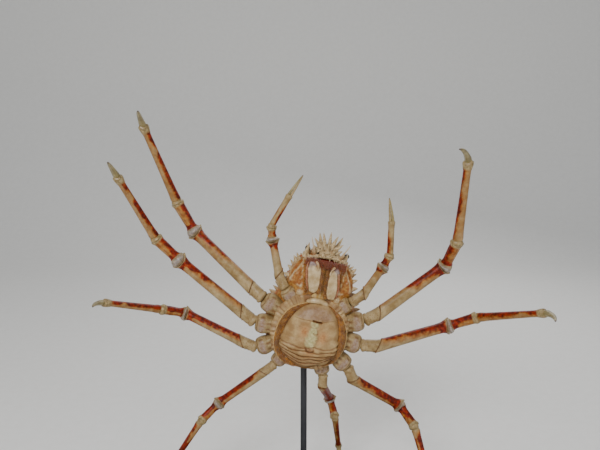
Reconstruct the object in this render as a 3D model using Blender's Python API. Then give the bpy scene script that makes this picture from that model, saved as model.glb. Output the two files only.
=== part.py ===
# Japanese spider crab, a life-size display model of a grown female.
#
# The crab stands upright on three of its hind legs with its belly towards -Y
# and its head up, leaning to the viewer's right. A plain stand with one rod
# holds it. Metres, +Z up, +X to the viewer's right, which is the crab's left.
# The origin is the middle of the stand's underside.

import math
import random

import bmesh
import bpy
from mathutils import Matrix, Vector

# Stand
GAP = 0.0003  # clearance between neighbouring pieces
BASE_SIZE = (0.72, 0.26)  # width, depth
BASE_THICKNESS = 0.018
BASE_CORNER = 0.030
BASE_CHAMFER = 0.0015
ROD_RADIUS = 0.007
ROD_PLACE = (0.020, 0.046)  # x, y on the plate
ROD_TOP = -0.054  # below the body's middle, inside the shell
FLANGE_RADIUS = 0.017
FLANGE_HEIGHT = 0.006

# The crab's middle is on its long axis, level with the bases of the legs
BODY_HEIGHT = 0.372  # above the plate
BODY_PLACE = Vector((0.030, 0.0, BASE_THICKNESS + BODY_HEIGHT))
HEAD_TILT = math.radians(13)  # the head leans to the viewer's right
LEAN = Matrix.Rotation(HEAD_TILT, 3, "Y")
VIEWER = Vector((0, -1, 0))

# Places on the body are (across, away from the viewer, towards the head).
# The carapace from rear to front: place along the body, half width, and the
# back and belly faces of the section there
SHELL_STATIONS = [
    (-0.080, 0.024, 0.052, 0.012),
    (-0.074, 0.046, 0.064, -0.004),
    (-0.058, 0.069, 0.078, -0.014),
    (-0.034, 0.086, 0.089, -0.018),
    (-0.004, 0.095, 0.095, -0.018),
    (0.028, 0.093, 0.094, -0.018),
    (0.056, 0.083, 0.087, -0.018),
    (0.080, 0.073, 0.078, -0.020),
    (0.104, 0.068, 0.070, -0.021),
    (0.128, 0.060, 0.061, -0.018),
    (0.146, 0.048, 0.051, -0.010),
    (0.158, 0.031, 0.041, 0.000),
    (0.167, 0.017, 0.033, 0.008),
]
SHELL_SIDES = 28
WIDEST_SHARE = 0.38  # where a section is widest, from its belly face
SIDE_POWER = 0.90  # how full the sections are, at the sides, back and belly
BACK_POWER = 0.92
BELLY_POWER = 0.62

# Spines of the front and sides: root, tip and root radius, on both sides
SPINES = [
    ((0.010, 0.016, 0.158), (0.024, 0.010, 0.203), 0.0060),  # rostral horn
    ((0.016, 0.006, 0.152), (0.032, -0.006, 0.187), 0.0045),  # below the horn
    ((0.006, 0.004, 0.156), (0.012, -0.006, 0.192), 0.0040),  # beside the middle
    ((0.026, 0.002, 0.148), (0.044, -0.008, 0.172), 0.0042),  # orbit, inner
    ((0.040, 0.006, 0.140), (0.044, -0.006, 0.178), 0.0050),  # orbit, outer
    ((0.030, 0.026, 0.146), (0.044, 0.026, 0.170), 0.0045),  # above the eye
    ((0.054, 0.010, 0.130), (0.065, 0.004, 0.147), 0.0055),  # hepatic
    ((0.060, 0.006, 0.116), (0.073, 0.000, 0.126), 0.0045),
    ((0.062, 0.004, 0.102), (0.077, -0.002, 0.109), 0.0055),
    ((0.074, 0.020, 0.072), (0.090, 0.014, 0.082), 0.0050),  # branchial
    ((0.082, 0.032, 0.050), (0.098, 0.028, 0.058), 0.0055),
    ((0.089, 0.036, 0.024), (0.106, 0.034, 0.030), 0.0055),
    ((0.090, 0.038, -0.006), (0.106, 0.037, -0.010), 0.0055),
    ((0.083, 0.040, -0.034), (0.097, 0.040, -0.044), 0.0050),
]
MIDDLE_SPINE = ((0, 0.004, 0.156), (-0.002, -0.006, 0.210), 0.0048)
SPINE_SIDES = 6
BLUNT_TIP = 0.08  # a spine's tip radius, as a share of its root's

# Tubercles spread over the back by the golden angle
TUBERCLES = 76
TUBERCLE_HEIGHT = (0.005, 0.011)
TUBERCLE_SIDES = 5
TUBERCLE_SINK = 0.004  # how deep its root goes into the shell
TUBERCLE_LEAN = 0.2  # towards the head, as a share of its height
TUBERCLE_FOOT = (0.001, 0.46)  # root radius: a least one, and a share of the height
TUBERCLE_SEED = 7
TUBERCLE_SHARES = (0.07, 0.89)  # of the carapace's length
TUBERCLE_TURNS = (0.06, 0.94)  # of the half turn over the back
GOLDEN = (math.sqrt(5) - 1) / 2

RIM_RADIUS = 0.0056  # pale rim in front of the mouth
RIM_HALF = 0.0445
RIM_ARCH = 0.008
RIM_PLACE = (-0.004, 0.148)  # away, along, at its two ends

STERNUM_HALF = (0.070, 0.0745)  # across, along
STERNUM_MIDDLE = 0.004
STERNUM_SIDES = 20
STERNUM_LEVELS = [(-0.008, 0.90), (-0.015, 1.0), (-0.023, 1.0), (-0.0265, 0.95)]
SWELLING_REACH = (0.074, 0.071)  # across, along
SWELLING_AWAY = -0.013
SWELLING_RADII = (0.016, 0.0145, 0.0195)

ABDOMEN_HALF = (0.060, 0.067)  # across, along
ABDOMEN_INNER = -0.0225  # its flat inner face
ABDOMEN_DOME = 0.026
ABDOMEN_EDGES = [0.067, 0.044, 0.006, -0.014, -0.029, -0.041, -0.052, -0.064]
ABDOMEN_BOW = 0.020  # how far the plates' edges curve
ABDOMEN_STEP = 0.0018  # how far each plate stands over the next
ABDOMEN_SIDES = 22
ABDOMEN_POWER = 2.4  # how full its outline is
ABDOMEN_RIM = 0.35  # height at its ends, as a share of the dome
ABDOMEN_PROFILE = [(0.06, 0.0), (0.45, 0.45), (0.94, 1.0)]  # along a plate, share of its step

# Outer mouthparts: along, middle across, half width, front face
MAXILLIPED_STATIONS = [
    (0.086, 0.0125, 0.0060, -0.0290),
    (0.092, 0.0140, 0.0105, -0.0330),
    (0.110, 0.0160, 0.0125, -0.0345),
    (0.133, 0.0175, 0.0125, -0.0330),
    (0.138, 0.0180, 0.0105, -0.0290),
    (0.141, 0.0180, 0.0100, -0.0280),
    (0.146, 0.0170, 0.0085, -0.0260),
    (0.152, 0.0150, 0.0055, -0.0190),
]
MAXILLIPED_INNER = -0.0165
MAXILLIPED_SIDES = 12
MAXILLIPED_POWER = 0.6  # how square its section is

EYE_ROOT = (0.028, 0.014, 0.150)
EYE_PLACE = (0.041, 0.012, 0.166)
EYE_RADIUS = 0.0055
STALK_RADIUS = 0.0040

# Feelers: across, away, along, radius
ANTENNA_PATH = [
    (0.023, -0.002, 0.148, 0.0042),
    (0.026, -0.008, 0.160, 0.0040),
    (0.028, -0.012, 0.168, 0.0028),
    (0.031, -0.015, 0.176, 0.0023),
    (0.035, -0.016, 0.185, 0.0013),
    (0.040, -0.016, 0.198, 0.0008),
]

# Legs, from the claw leg back. coxa_root and hip are places on the body. A
# segment has its length, its shaft's half width and that of its far end
LEGS = {
    "claw_leg": {
        "coxa_root": (0.044, -0.008, 0.060), "hip": (0.068, -0.014, 0.080),
        "coxa": 0.0150, "ischium": (0.032, 0.0105),
        "merus": (0.078, 0.0085, 0.0120), "carpus": (0.030, 0.0080, 0.0105),
        "propodus": (0.074, 0.0068, 0.0062), "dactyl": (0.050, 0.0030),
    },
    "leg_1": {
        "coxa_root": (0.072, -0.006, 0.034), "hip": (0.106, -0.008, 0.048),
        "coxa": 0.0190, "ischium": (0.033, 0.0135),
        "merus": (0.168, 0.0122, 0.0155), "carpus": (0.070, 0.0110, 0.0130),
        "propodus": (0.176, 0.0092, 0.0072), "dactyl": (0.080, 0.0058),
    },
    "leg_2": {
        "coxa_root": (0.078, -0.006, -0.004), "hip": (0.112, -0.008, -0.006),
        "coxa": 0.0190, "ischium": (0.034, 0.0132),
        "merus": (0.167, 0.0118, 0.0155), "carpus": (0.063, 0.0108, 0.0130),
        "propodus": (0.160, 0.0088, 0.0068), "dactyl": (0.076, 0.0056),
    },
    "leg_3": {
        "coxa_root": (0.068, -0.004, -0.042), "hip": (0.097, -0.006, -0.060),
        "coxa": 0.0180, "ischium": (0.032, 0.0120),
        "merus": (0.146, 0.0104, 0.0138), "carpus": (0.056, 0.0096, 0.0116),
        "propodus": (0.138, 0.0080, 0.0062), "dactyl": (0.070, 0.0052),
    },
    "leg_4": {
        "coxa_root": (0.038, 0.002, -0.062), "hip": (0.052, 0.000, -0.090),
        "coxa": 0.0150, "ischium": (0.028, 0.0102),
        "merus": (0.128, 0.0094, 0.0122), "carpus": (0.050, 0.0086, 0.0104),
        "propodus": (0.126, 0.0072, 0.0058), "dactyl": (0.066, 0.0048),
    },
}
SEGMENTS = ("ischium", "merus", "carpus", "propodus", "dactyl")
LEG_SIDES = 10
TIP_RADIUS = 0.0011
JOINT_FADE = 2.2  # a joint plane's trim fades out over this many half widths
DACTYL_BOW = 0.07  # of its length
FINGERS_APART = (0.52, 0.50)  # shares of the palm's end and of a finger's width

# The pose, in degrees, for each segment from ischium to dactyl: the clock
# angle in the upright plane, from straight up towards +X, and the lean away
# from the viewer
POSE = {
    "claw_leg_right": [(-28, 36), (-13, 32), (-3, -7), (31, 5), (34, 4)],
    "leg_1_right": [(-53, 22), (-48, 15), (-29, 2), (-16, -21), (24, -68)],
    "leg_2_right": [(-52, 8), (-50, 4), (-44, -2), (-19, -28), (12, -64)],
    "leg_3_right": [(-68, 4), (-72, 23), (-66, -33), (-61, -44), (19, -77)],
    "leg_4_right": [(-122, -17), (-129, 7), (-130, -24), (-148, 4), (-170, -8)],
    "claw_leg_left": [(56, 4), (46, 38), (27, -3), (0, -6), (-8, -6)],
    "leg_1_left": [(69, 16), (54, 5), (12, -31), (-2, -21), (-54, -56)],
    "leg_2_left": [(90, -6), (81, 17), (63, -20), (58, -50), (-53, -76)],
    "leg_3_left": [(158, 8), (128, 18), (136, -48), (165, -28), (172, -61)],
    "leg_4_left": [(182, 2), (165, 50), (158, -60), (173, 28), (176, -62)],
}
STANDING = ("leg_4_right", "leg_3_left", "leg_4_left")

# How each segment's width runs along it: share of the length, share of the
# shaft's or the end's half width, and thickness as a share of the width
COXA_FORM = [
    (0.0, 0.80, 0.88), (0.35, 0.98, 0.86), (0.66, 0.92, 0.87),
    (0.84, 0.84, 0.88), (0.94, 0.98, 0.86), (1.0, 0.96, 0.86),
]
ISCHIUM_FORM = [
    (0.02, 0.84, 0.95), (0.34, 0.98, 0.92), (0.76, 1.0, 0.92), (0.90, 1.10, 0.91), (1.0, 1.02, 0.92),
]

materials = {}


def material(name, colour, roughness):
    """A named material with the finish's base values, made once."""
    if name not in materials:
        made = bpy.data.materials.new(name)
        made.use_nodes = True
        shader = made.node_tree.nodes["Principled BSDF"]
        shader.inputs["Base Color"].default_value = (*colour, 1)
        shader.inputs["Roughness"].default_value = roughness
        materials[name] = made
    return materials[name]


def add_object(name, mesh, finish, group, parent=None):
    """A named object in a collection, smooth but for its sharp edges."""
    obj = bpy.data.objects.new(name, mesh)
    mesh.materials.append(finish)
    mesh.shade_smooth()
    mesh.set_sharp_from_angle(angle=math.radians(40))
    group.objects.link(obj)
    obj.parent = parent
    return obj


def body_point(place, side=1):
    """A place on the body in the crab's own frame. side is 1 for the crab's
    left, on the viewer's right, and -1 for its right."""
    return LEAN @ Vector((side * place[0], place[1], place[2]))


def pointing(clock, away):
    """Unit direction for a clock angle and a lean away, in degrees."""
    clock = math.radians(clock)
    away = math.radians(away)
    flat = math.cos(away)
    return Vector((flat * math.sin(clock), math.sin(away), flat * math.cos(clock)))


def round_power(value, power):
    """A sine or cosine raised to a power with its sign kept, for full curves."""
    return math.copysign(abs(value) ** power, value)


def turns(count):
    """Angles evenly round a circle."""
    return [2 * math.pi * k / count for k in range(count)]


def mesh_from(bm, name):
    mesh = bpy.data.meshes.new(name)
    bm.to_mesh(mesh)
    bm.free()
    return mesh


def skin(rings):
    """A closed loft through unlike rings of points, one after another."""
    bm = bmesh.new()
    loops = [[bm.verts.new(point) for point in ring] for ring in rings]
    for low, high in zip(loops, loops[1:]):
        for i in range(len(low)):
            j = (i + 1) % len(low)
            bm.faces.new((low[i], low[j], high[j], high[i]))
    bm.faces.new(list(reversed(loops[0])))
    bm.faces.new(loops[-1])
    bmesh.ops.triangulate(bm, faces=[face for face in bm.faces if len(face.verts) > 4])
    bmesh.ops.recalc_face_normals(bm, faces=bm.faces)
    return mesh_from(bm, "skin")


def cone(root, tip, radius, sides):
    """A closed, nearly pointed cone between two places."""
    bm = bmesh.new()
    length = (tip - root).length
    bmesh.ops.create_cone(
        bm, cap_ends=True, segments=sides, radius1=radius, radius2=radius * BLUNT_TIP, depth=length,
    )
    turn = (tip - root).to_track_quat("Z", "Y").to_matrix().to_4x4()
    bm.transform(Matrix.Translation((root + tip) / 2) @ turn)
    return mesh_from(bm, "cone")


def cylinder(root, tip, radius, sides):
    """A closed cylinder between two places."""
    bm = bmesh.new()
    length = (tip - root).length
    bmesh.ops.create_cone(bm, cap_ends=True, segments=sides, radius1=radius, radius2=radius, depth=length)
    turn = (tip - root).to_track_quat("Z", "Y").to_matrix().to_4x4()
    bm.transform(Matrix.Translation((root + tip) / 2) @ turn)
    return mesh_from(bm, "cylinder")


def ellipsoid(middle, radii, turn, segments=8, rings=6):
    """A closed ellipsoid with its own turn."""
    bm = bmesh.new()
    bmesh.ops.create_uvsphere(bm, u_segments=segments, v_segments=rings, radius=1)
    bm.transform(Matrix.Translation(middle) @ turn.to_4x4() @ Matrix.Diagonal((*radii, 1)))
    return mesh_from(bm, "ellipsoid")


def tube(points, radii):
    """A closed round tube along points, with a radius at each."""
    curve = bpy.data.curves.new("tube", "CURVE")
    curve.dimensions = "3D"
    curve.bevel_depth = 1.0
    curve.bevel_resolution = 2
    curve.use_fill_caps = True
    spline = curve.splines.new("POLY")
    spline.points.add(len(points) - 1)
    for spot, point, radius in zip(spline.points, points, radii):
        spot.co = (*point, 1)
        spot.radius = radius
    obj = bpy.data.objects.new("tube", curve)
    bpy.context.scene.collection.objects.link(obj)
    graph = bpy.context.evaluated_depsgraph_get()
    bm = bmesh.new()
    bm.from_mesh(bpy.data.meshes.new_from_object(obj.evaluated_get(graph)))
    bpy.data.objects.remove(obj)
    bmesh.ops.remove_doubles(bm, verts=bm.verts, dist=0.00001)
    return mesh_from(bm, "tube")


def combine(obj, meshes, operation, solver="EXACT"):
    """Applies one Boolean of obj with closed meshes given in its own frame."""
    helpers = bpy.data.collections.new("helpers")
    bpy.context.scene.collection.children.link(helpers)
    for mesh in meshes:
        helper = bpy.data.objects.new("helper", mesh)
        helpers.objects.link(helper)
        helper.parent = obj.parent
    tool = obj.modifiers.new("combine", "BOOLEAN")
    tool.operation = operation
    tool.operand_type = "COLLECTION"
    tool.collection = helpers
    tool.solver = solver
    bpy.context.view_layer.update()
    graph = bpy.context.evaluated_depsgraph_get()
    result = bpy.data.meshes.new_from_object(obj.evaluated_get(graph))
    obj.modifiers.remove(tool)
    obj.data = result
    for helper in list(helpers.objects):
        bpy.data.objects.remove(helper)
    bpy.data.collections.remove(helpers)
    keep_largest(obj.data)


def keep_largest(mesh):
    """Leaves only the mesh's largest closed surface."""
    bm = bmesh.new()
    bm.from_mesh(mesh)
    seen = set()
    pieces = []
    for first in bm.faces:
        if first in seen:
            continue
        seen.add(first)
        piece = [first]
        for face in piece:
            for other in {f for edge in face.edges for f in edge.link_faces} - seen:
                seen.add(other)
                piece.append(other)
        pieces.append(piece)
    pieces.sort(key=lambda faces: sum(face.calc_area() for face in faces))
    for piece in pieces[:-1]:
        bmesh.ops.delete(bm, geom=piece, context="FACES")
    bm.to_mesh(mesh)
    bm.free()


def grown(obj, shift=Vector()):
    """A copy of a piece's mesh, larger by the gap all round, as a cutter."""
    bm = bmesh.new()
    bm.from_mesh(obj.data)
    bmesh.ops.triangulate(bm, faces=bm.faces)
    bm.normal_update()
    places = [vert.co + vert.normal * GAP * vert.calc_shell_factor() + shift for vert in bm.verts]
    for vert, place in zip(bm.verts, places):
        vert.co = place
    return mesh_from(bm, "cutter")


def limb_rings(start, end, face_start, face_end, sections, bow=Vector()):
    """Rings of a limb from start to end. sections holds (share of the length,
    half width, half thickness). The ends are trimmed to their joints' planes,
    and bow is how far the middle is pushed aside."""
    axis = (end - start).normalized()
    length = (end - start).length
    thick = (VIEWER - VIEWER.dot(axis) * axis).normalized()
    wide = axis.cross(thick)
    fade_length = JOINT_FADE * max(width for _, width, _ in sections)
    rings = []
    for share, width, thickness in sections:
        middle = start + (end - start) * share + bow * 4 * share * (1 - share)
        ring = []
        for turn in turns(LEG_SIDES):
            offset = wide * width * math.cos(turn) + thick * thickness * math.sin(turn)
            shift = 0.0
            for face, distance in ((face_start, share * length), (face_end, (1 - share) * length)):
                fade = max(0.0, 1 - distance / fade_length)
                shift -= fade * offset.dot(face) / axis.dot(face)
            ring.append(middle + offset + axis * shift)
        rings.append(ring)
    return rings


def scaled(form, width):
    """Turns (share, width share, thickness share) into real half sizes."""
    return [(share, width * wide, width * wide * thick) for share, wide, thick in form]


class Limb:
    """A leg's joints: places from the coxa's root to the tip, the directions
    between them and each joint plane's normal."""

    def __init__(self, name):
        pair_name, side_name = name.rsplit("_", 1)
        self.name = name
        self.side = 1 if side_name == "left" else -1
        self.sizes = LEGS[pair_name]
        self.claw = pair_name == "claw_leg"
        self.standing = name in STANDING
        self.places = [
            body_point(self.sizes["coxa_root"], self.side), body_point(self.sizes["hip"], self.side),
        ]
        for segment, (clock, away) in zip(SEGMENTS, POSE[name]):
            self.places.append(self.places[-1] + self.sizes[segment][0] * pointing(clock, away))
        if self.standing:
            ankle, tip = self.places[-2:]
            drop = ankle.z + BODY_HEIGHT - GAP
            self.places[-1] = ankle + (tip - ankle) * drop / (ankle.z - tip.z)
        self.ways = [(b - a).normalized() for a, b in zip(self.places, self.places[1:])]
        self.faces = [self.ways[0]]
        self.faces += [(a + b).normalized() for a, b in zip(self.ways, self.ways[1:])]
        self.faces.append(Vector((0, 0, -1)) if self.standing else self.ways[-1])

    def span(self, index):
        """Start, end and end planes of a segment, half a gap short of each joint."""
        way = self.ways[index]
        start_face, end_face = self.faces[index:index + 2]
        start = self.places[index] + way * GAP / 2 / abs(way.dot(start_face))
        end = self.places[index + 1] - way * GAP / 2 / abs(way.dot(end_face))
        return start, end, start_face, end_face


def hip_mesh(limb):
    """Coxa and ischium, which don't part: a bulb with a rim, then a neck."""
    start, _, face_a, face_b = limb.span(0)
    rings = limb_rings(start, limb.places[1], face_a, face_b, scaled(COXA_FORM, limb.sizes["coxa"]))
    _, end, face_a, face_b = limb.span(1)
    return skin(rings + limb_rings(
        limb.places[1], end, face_a, face_b, scaled(ISCHIUM_FORM, limb.sizes["ischium"][1])))


def merus_mesh(limb):
    """The long upper segment, flared into the knee's knuckle."""
    neck = limb.sizes["ischium"][1]
    _, shaft, knuckle = limb.sizes["merus"]
    return skin(limb_rings(*limb.span(2), [
        (0.0, neck * 0.94, neck * 0.88), (0.05, neck * 1.06, neck * 0.96),
        (0.20, shaft * 1.06, shaft * 0.96), (0.50, shaft, shaft * 0.90),
        (0.80, shaft * 0.92, shaft * 0.84), (0.90, shaft * 0.98, shaft * 0.88),
        (0.955, knuckle, knuckle * 0.84), (0.985, knuckle * 0.98, knuckle * 0.80),
        (1.0, knuckle * 0.80, knuckle * 0.70),
    ]))


def carpus_mesh(limb):
    """The short wrist segment, narrow at the knee and wide at its far end."""
    _, shaft, knuckle = limb.sizes["carpus"]
    return skin(limb_rings(*limb.span(3), [
        (0.0, shaft * 0.78, shaft * 0.72), (0.10, shaft * 0.84, shaft * 0.78),
        (0.35, shaft * 0.96, shaft * 0.88), (0.72, shaft, shaft * 0.90),
        (0.90, knuckle, knuckle * 0.86), (1.0, knuckle * 0.90, knuckle * 0.80),
    ]))


def propodus_mesh(limb):
    """The slender shin, tapering to a small knuckle."""
    _, shaft, slim = limb.sizes["propodus"]
    middle = (shaft + slim) / 2
    return skin(limb_rings(*limb.span(4), [
        (0.0, shaft * 0.92, shaft * 0.86), (0.05, shaft * 1.08, shaft * 0.98),
        (0.14, shaft, shaft * 0.92), (0.45, middle, middle * 0.92),
        (0.82, slim, slim * 0.92), (0.92, slim * 1.04, slim * 0.96),
        (0.97, slim * 1.30, slim * 1.14), (1.0, slim * 1.05, slim * 0.96),
    ]))


def dactyl_mesh(limb):
    """The claw-like last segment, curved and tapering to a point."""
    length, thick = limb.sizes["dactyl"]
    start, end, face_a, face_b = limb.span(5)
    before, way = limb.ways[4:6]
    outer = (before - before.dot(way) * way).normalized()
    return skin(limb_rings(start, end, face_a, face_b, [
        (0.0, thick * 0.92, thick * 0.86), (0.10, thick * 1.02, thick * 0.96),
        (0.35, thick * 0.82, thick * 0.76), (0.65, thick * 0.58, thick * 0.52),
        (0.88, thick * 0.34, thick * 0.32), (1.0, TIP_RADIUS, TIP_RADIUS),
    ], outer * DACTYL_BOW * length))


def finger_rings(limb, root, tip):
    """Rings of one of the claw's two fingers."""
    _, _, slim = limb.sizes["propodus"]
    finger = limb.sizes["dactyl"][1]
    axis = limb.ways[4]
    return limb_rings(root, tip, axis, axis, [
        (0.0, slim * 0.44, slim * 0.60), (0.30, finger * 0.60, finger * 0.80),
        (0.70, finger * 0.46, finger * 0.62), (0.93, finger * 0.34, finger * 0.42),
        (1.0, TIP_RADIUS * 0.6, TIP_RADIUS * 0.8),
    ])


def claw_meshes(limb):
    """The claw: the palm with its fixed finger, and the movable finger."""
    _, shaft, slim = limb.sizes["propodus"]
    finger = limb.sizes["dactyl"][1]
    axis = limb.ways[4]
    start, _, face_start, _ = limb.span(4)
    wrist_end, tip = limb.places[5:7]
    across = (VIEWER - VIEWER.dot(axis) * axis).cross(axis).normalized() * limb.side
    palm = limb_rings(start, wrist_end, face_start, axis, [
        (0.0, shaft * 0.86, shaft * 0.80), (0.12, shaft * 1.02, shaft * 0.92),
        (0.50, shaft * 0.96, shaft * 0.86), (0.90, slim * 1.06, slim * 0.94),
        (0.99, slim, slim * 0.90),
    ])
    apart = across * FINGERS_APART[0] * slim
    tip_apart = across * FINGERS_APART[1] * finger
    fixed = skin(palm + finger_rings(limb, wrist_end + apart, tip + tip_apart))
    moving = skin(finger_rings(limb, wrist_end - apart + axis * GAP, tip - tip_apart))
    return fixed, moving


def build_leg(name, group, crab, shell, tips):
    """One leg as its nodes. Returns the hip, which is set into the body."""
    limb = Limb(name)
    hip = add_object(name + "_hip", hip_mesh(limb), shell, group, crab)
    add_object(name + "_merus", merus_mesh(limb), shell, group, crab)
    add_object(name + "_carpus", carpus_mesh(limb), shell, group, crab)
    if limb.claw:
        fixed, moving = claw_meshes(limb)
    else:
        fixed, moving = propodus_mesh(limb), dactyl_mesh(limb)
    add_object(name + "_propodus", fixed, shell, group, crab)
    add_object(name + "_dactyl", moving, tips, group, crab)
    return hip


def shell_place(station, turn):
    """A place on the carapace's section: flat belly, domed back."""
    along, half, back, belly = station
    middle = belly + WIDEST_SHARE * (back - belly)
    rise, power = (back - middle, BACK_POWER) if math.sin(turn) > 0 else (middle - belly, BELLY_POWER)
    across = half * round_power(math.cos(turn), SIDE_POWER)
    return Vector((across, middle + rise * round_power(math.sin(turn), power), along))


def station_at(share):
    """The carapace's section at a share of its length."""
    place = share * (len(SHELL_STATIONS) - 1)
    low = int(place)
    mix = place - low
    return [a + (b - a) * mix for a, b in zip(SHELL_STATIONS[low], SHELL_STATIONS[low + 1])]


def tubercle_meshes():
    """Blunt tubercles all over the back, leaning a little forward."""
    draw = random.Random(TUBERCLE_SEED)
    step = 0.01
    meshes = []
    for i in range(TUBERCLES):
        first, last = TUBERCLE_SHARES
        share = first + (last - first) * (i + 0.5) / TUBERCLES
        low, high = TUBERCLE_TURNS
        turn = math.pi * (low + (high - low) * ((i * GOLDEN) % 1))
        place = shell_place(station_at(share), turn)
        along = shell_place(station_at(share + step), turn) - place
        around = shell_place(station_at(share), turn + step) - place
        outward = around.cross(along).normalized()
        height = draw.uniform(*TUBERCLE_HEIGHT)
        root = body_point(place - outward * TUBERCLE_SINK)
        tip = body_point(place + (outward + Vector((0, 0, TUBERCLE_LEAN))).normalized() * height)
        least, share_of_height = TUBERCLE_FOOT
        meshes.append(cone(root, tip, least + share_of_height * height, TUBERCLE_SIDES))
    return meshes


def build_carapace(group, crab, finish):
    """The carapace with its spines, tubercles and pale front rim, before the
    sockets for the other pieces are cut."""
    rings = [[LEAN @ shell_place(station, turn) for turn in turns(SHELL_SIDES)] for station in SHELL_STATIONS]
    carapace = add_object("carapace", skin(rings), finish, group, crab)
    pieces = tubercle_meshes()
    for root, tip, radius in SPINES:
        for side in (1, -1):
            pieces.append(cone(body_point(root, side), body_point(tip, side), radius, SPINE_SIDES))
    root, tip, radius = MIDDLE_SPINE
    pieces.append(cone(body_point(root), body_point(tip), radius, SPINE_SIDES))
    rim = []
    for share in (-1, -0.6, -0.2, 0.2, 0.6, 1):
        arch = RIM_ARCH * (1 - share * share)
        rim.append(body_point((RIM_HALF * share, RIM_PLACE[0] - arch, RIM_PLACE[1] + arch)))
    pieces.append(tube(rim, [RIM_RADIUS] * len(rim)))
    combine(carapace, pieces, "UNION")
    return carapace


def build_sternum(group, crab, finish):
    """The breastplate under the apron, with a swelling beside each leg."""
    across, along = STERNUM_HALF
    rings = []
    for away, share in STERNUM_LEVELS:
        rings.append([
            body_point((
                share * across * math.cos(turn), away, STERNUM_MIDDLE + share * along * math.sin(turn),
            ))
            for turn in turns(STERNUM_SIDES)
        ])
    sternum = add_object("sternum", skin(rings), finish, group, crab)
    swellings = []
    for sizes in LEGS.values():
        root = sizes["coxa_root"]
        out = Vector((root[0], 0, root[2])).normalized()
        for side in (1, -1):
            turn = Matrix.Rotation(HEAD_TILT - side * math.atan2(out.z, out.x), 3, "Y")
            middle = body_point((out.x * SWELLING_REACH[0], SWELLING_AWAY, out.z * SWELLING_REACH[1]), side)
            swellings.append(ellipsoid(middle, SWELLING_RADII, turn))
    combine(sternum, swellings, "UNION")
    return sternum


def build_abdomen(group, crab, finish):
    """The round apron: seven plates, each standing a little over the next."""
    across, along = ABDOMEN_HALF
    rings = []
    for top, bottom in zip(ABDOMEN_EDGES, ABDOMEN_EDGES[1:]):
        for share, lift in ABDOMEN_PROFILE:
            place = top + (bottom - top) * share
            level = max(-0.985, min(0.985, place / along))
            half = across * (1 - abs(level) ** ABDOMEN_POWER) ** (1 / ABDOMEN_POWER)
            flatness = 1 - level * level
            height = ABDOMEN_DOME * (ABDOMEN_RIM + (1 - ABDOMEN_RIM) * flatness) + ABDOMEN_STEP * lift
            ring = []
            for turn in turns(ABDOMEN_SIDES):
                rise = max(0.0, math.sin(turn)) ** 0.8
                inset = 1.0 if math.sin(turn) > -0.001 else 0.94
                bowed = place + ABDOMEN_BOW * (math.cos(turn) ** 2 - 0.5) * flatness
                ring.append(body_point((half * inset * math.cos(turn), ABDOMEN_INNER - height * rise, bowed)))
            rings.append(ring)
    return add_object("abdomen", skin(rings), finish, group, crab)


def build_maxilliped(side_name, side, group, crab, finish):
    """An outer mouthpart: the long plate and the square plate above it."""
    rings = []
    for along, middle, half, front in MAXILLIPED_STATIONS:
        depth = (front - MAXILLIPED_INNER) / 2
        rings.append([
            body_point((
                middle + half * round_power(math.cos(turn), MAXILLIPED_POWER),
                MAXILLIPED_INNER + depth + depth * round_power(math.sin(turn), MAXILLIPED_POWER),
                along,
            ), side)
            for turn in turns(MAXILLIPED_SIDES)
        ])
    return add_object("maxilliped_" + side_name, skin(rings), finish, group, crab)


def build_eye(side_name, side, group, crab, finish):
    """A short stalk with a round eye at its end."""
    root = body_point(EYE_ROOT, side)
    place = body_point(EYE_PLACE, side)
    eye = add_object("eye_" + side_name, cylinder(root, place, STALK_RADIUS, 10), finish, group, crab)
    turn = (place - root).to_track_quat("Z", "Y").to_matrix()
    combine(eye, [ellipsoid(place, (EYE_RADIUS,) * 3, turn, segments=10, rings=7)], "UNION")
    return eye


def build_antenna(side_name, side, group, crab, finish):
    """A feeler: three thick joints and a short whip."""
    points = [body_point(spot[:3], side) for spot in ANTENNA_PATH]
    radii = [spot[3] for spot in ANTENNA_PATH]
    return add_object("antenna_" + side_name, tube(points, radii), finish, group, crab)


def build_stand(group, finish):
    """A flat plate with round corners, and one rod up into the carapace."""
    bm = bmesh.new()
    bmesh.ops.create_cube(bm, size=1)
    bmesh.ops.scale(bm, vec=(*BASE_SIZE, BASE_THICKNESS), verts=bm.verts)
    bmesh.ops.translate(bm, vec=(0, 0, BASE_THICKNESS / 2), verts=bm.verts)
    upright = [edge for edge in bm.edges if edge.verts[0].co.xy == edge.verts[1].co.xy]
    bmesh.ops.bevel(bm, geom=upright, offset=BASE_CORNER, segments=4, profile=0.5, affect="EDGES")
    rims = [edge for edge in bm.edges if edge.verts[0].co.z == edge.verts[1].co.z]
    bmesh.ops.bevel(bm, geom=rims, offset=BASE_CHAMFER, segments=1, profile=0.5, affect="EDGES")
    stand = add_object("stand_base", mesh_from(bm, "plate"), finish, group)
    foot = Vector((*ROD_PLACE, BASE_THICKNESS - FLANGE_HEIGHT))
    flange = cylinder(foot, foot + Vector((0, 0, 2 * FLANGE_HEIGHT)), FLANGE_RADIUS, 16)
    rod_top = Vector((*ROD_PLACE, BODY_PLACE.z + ROD_TOP))
    combine(stand, [flange, cylinder(foot, rod_top, ROD_RADIUS, 16)], "UNION")
    return stand


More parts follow.
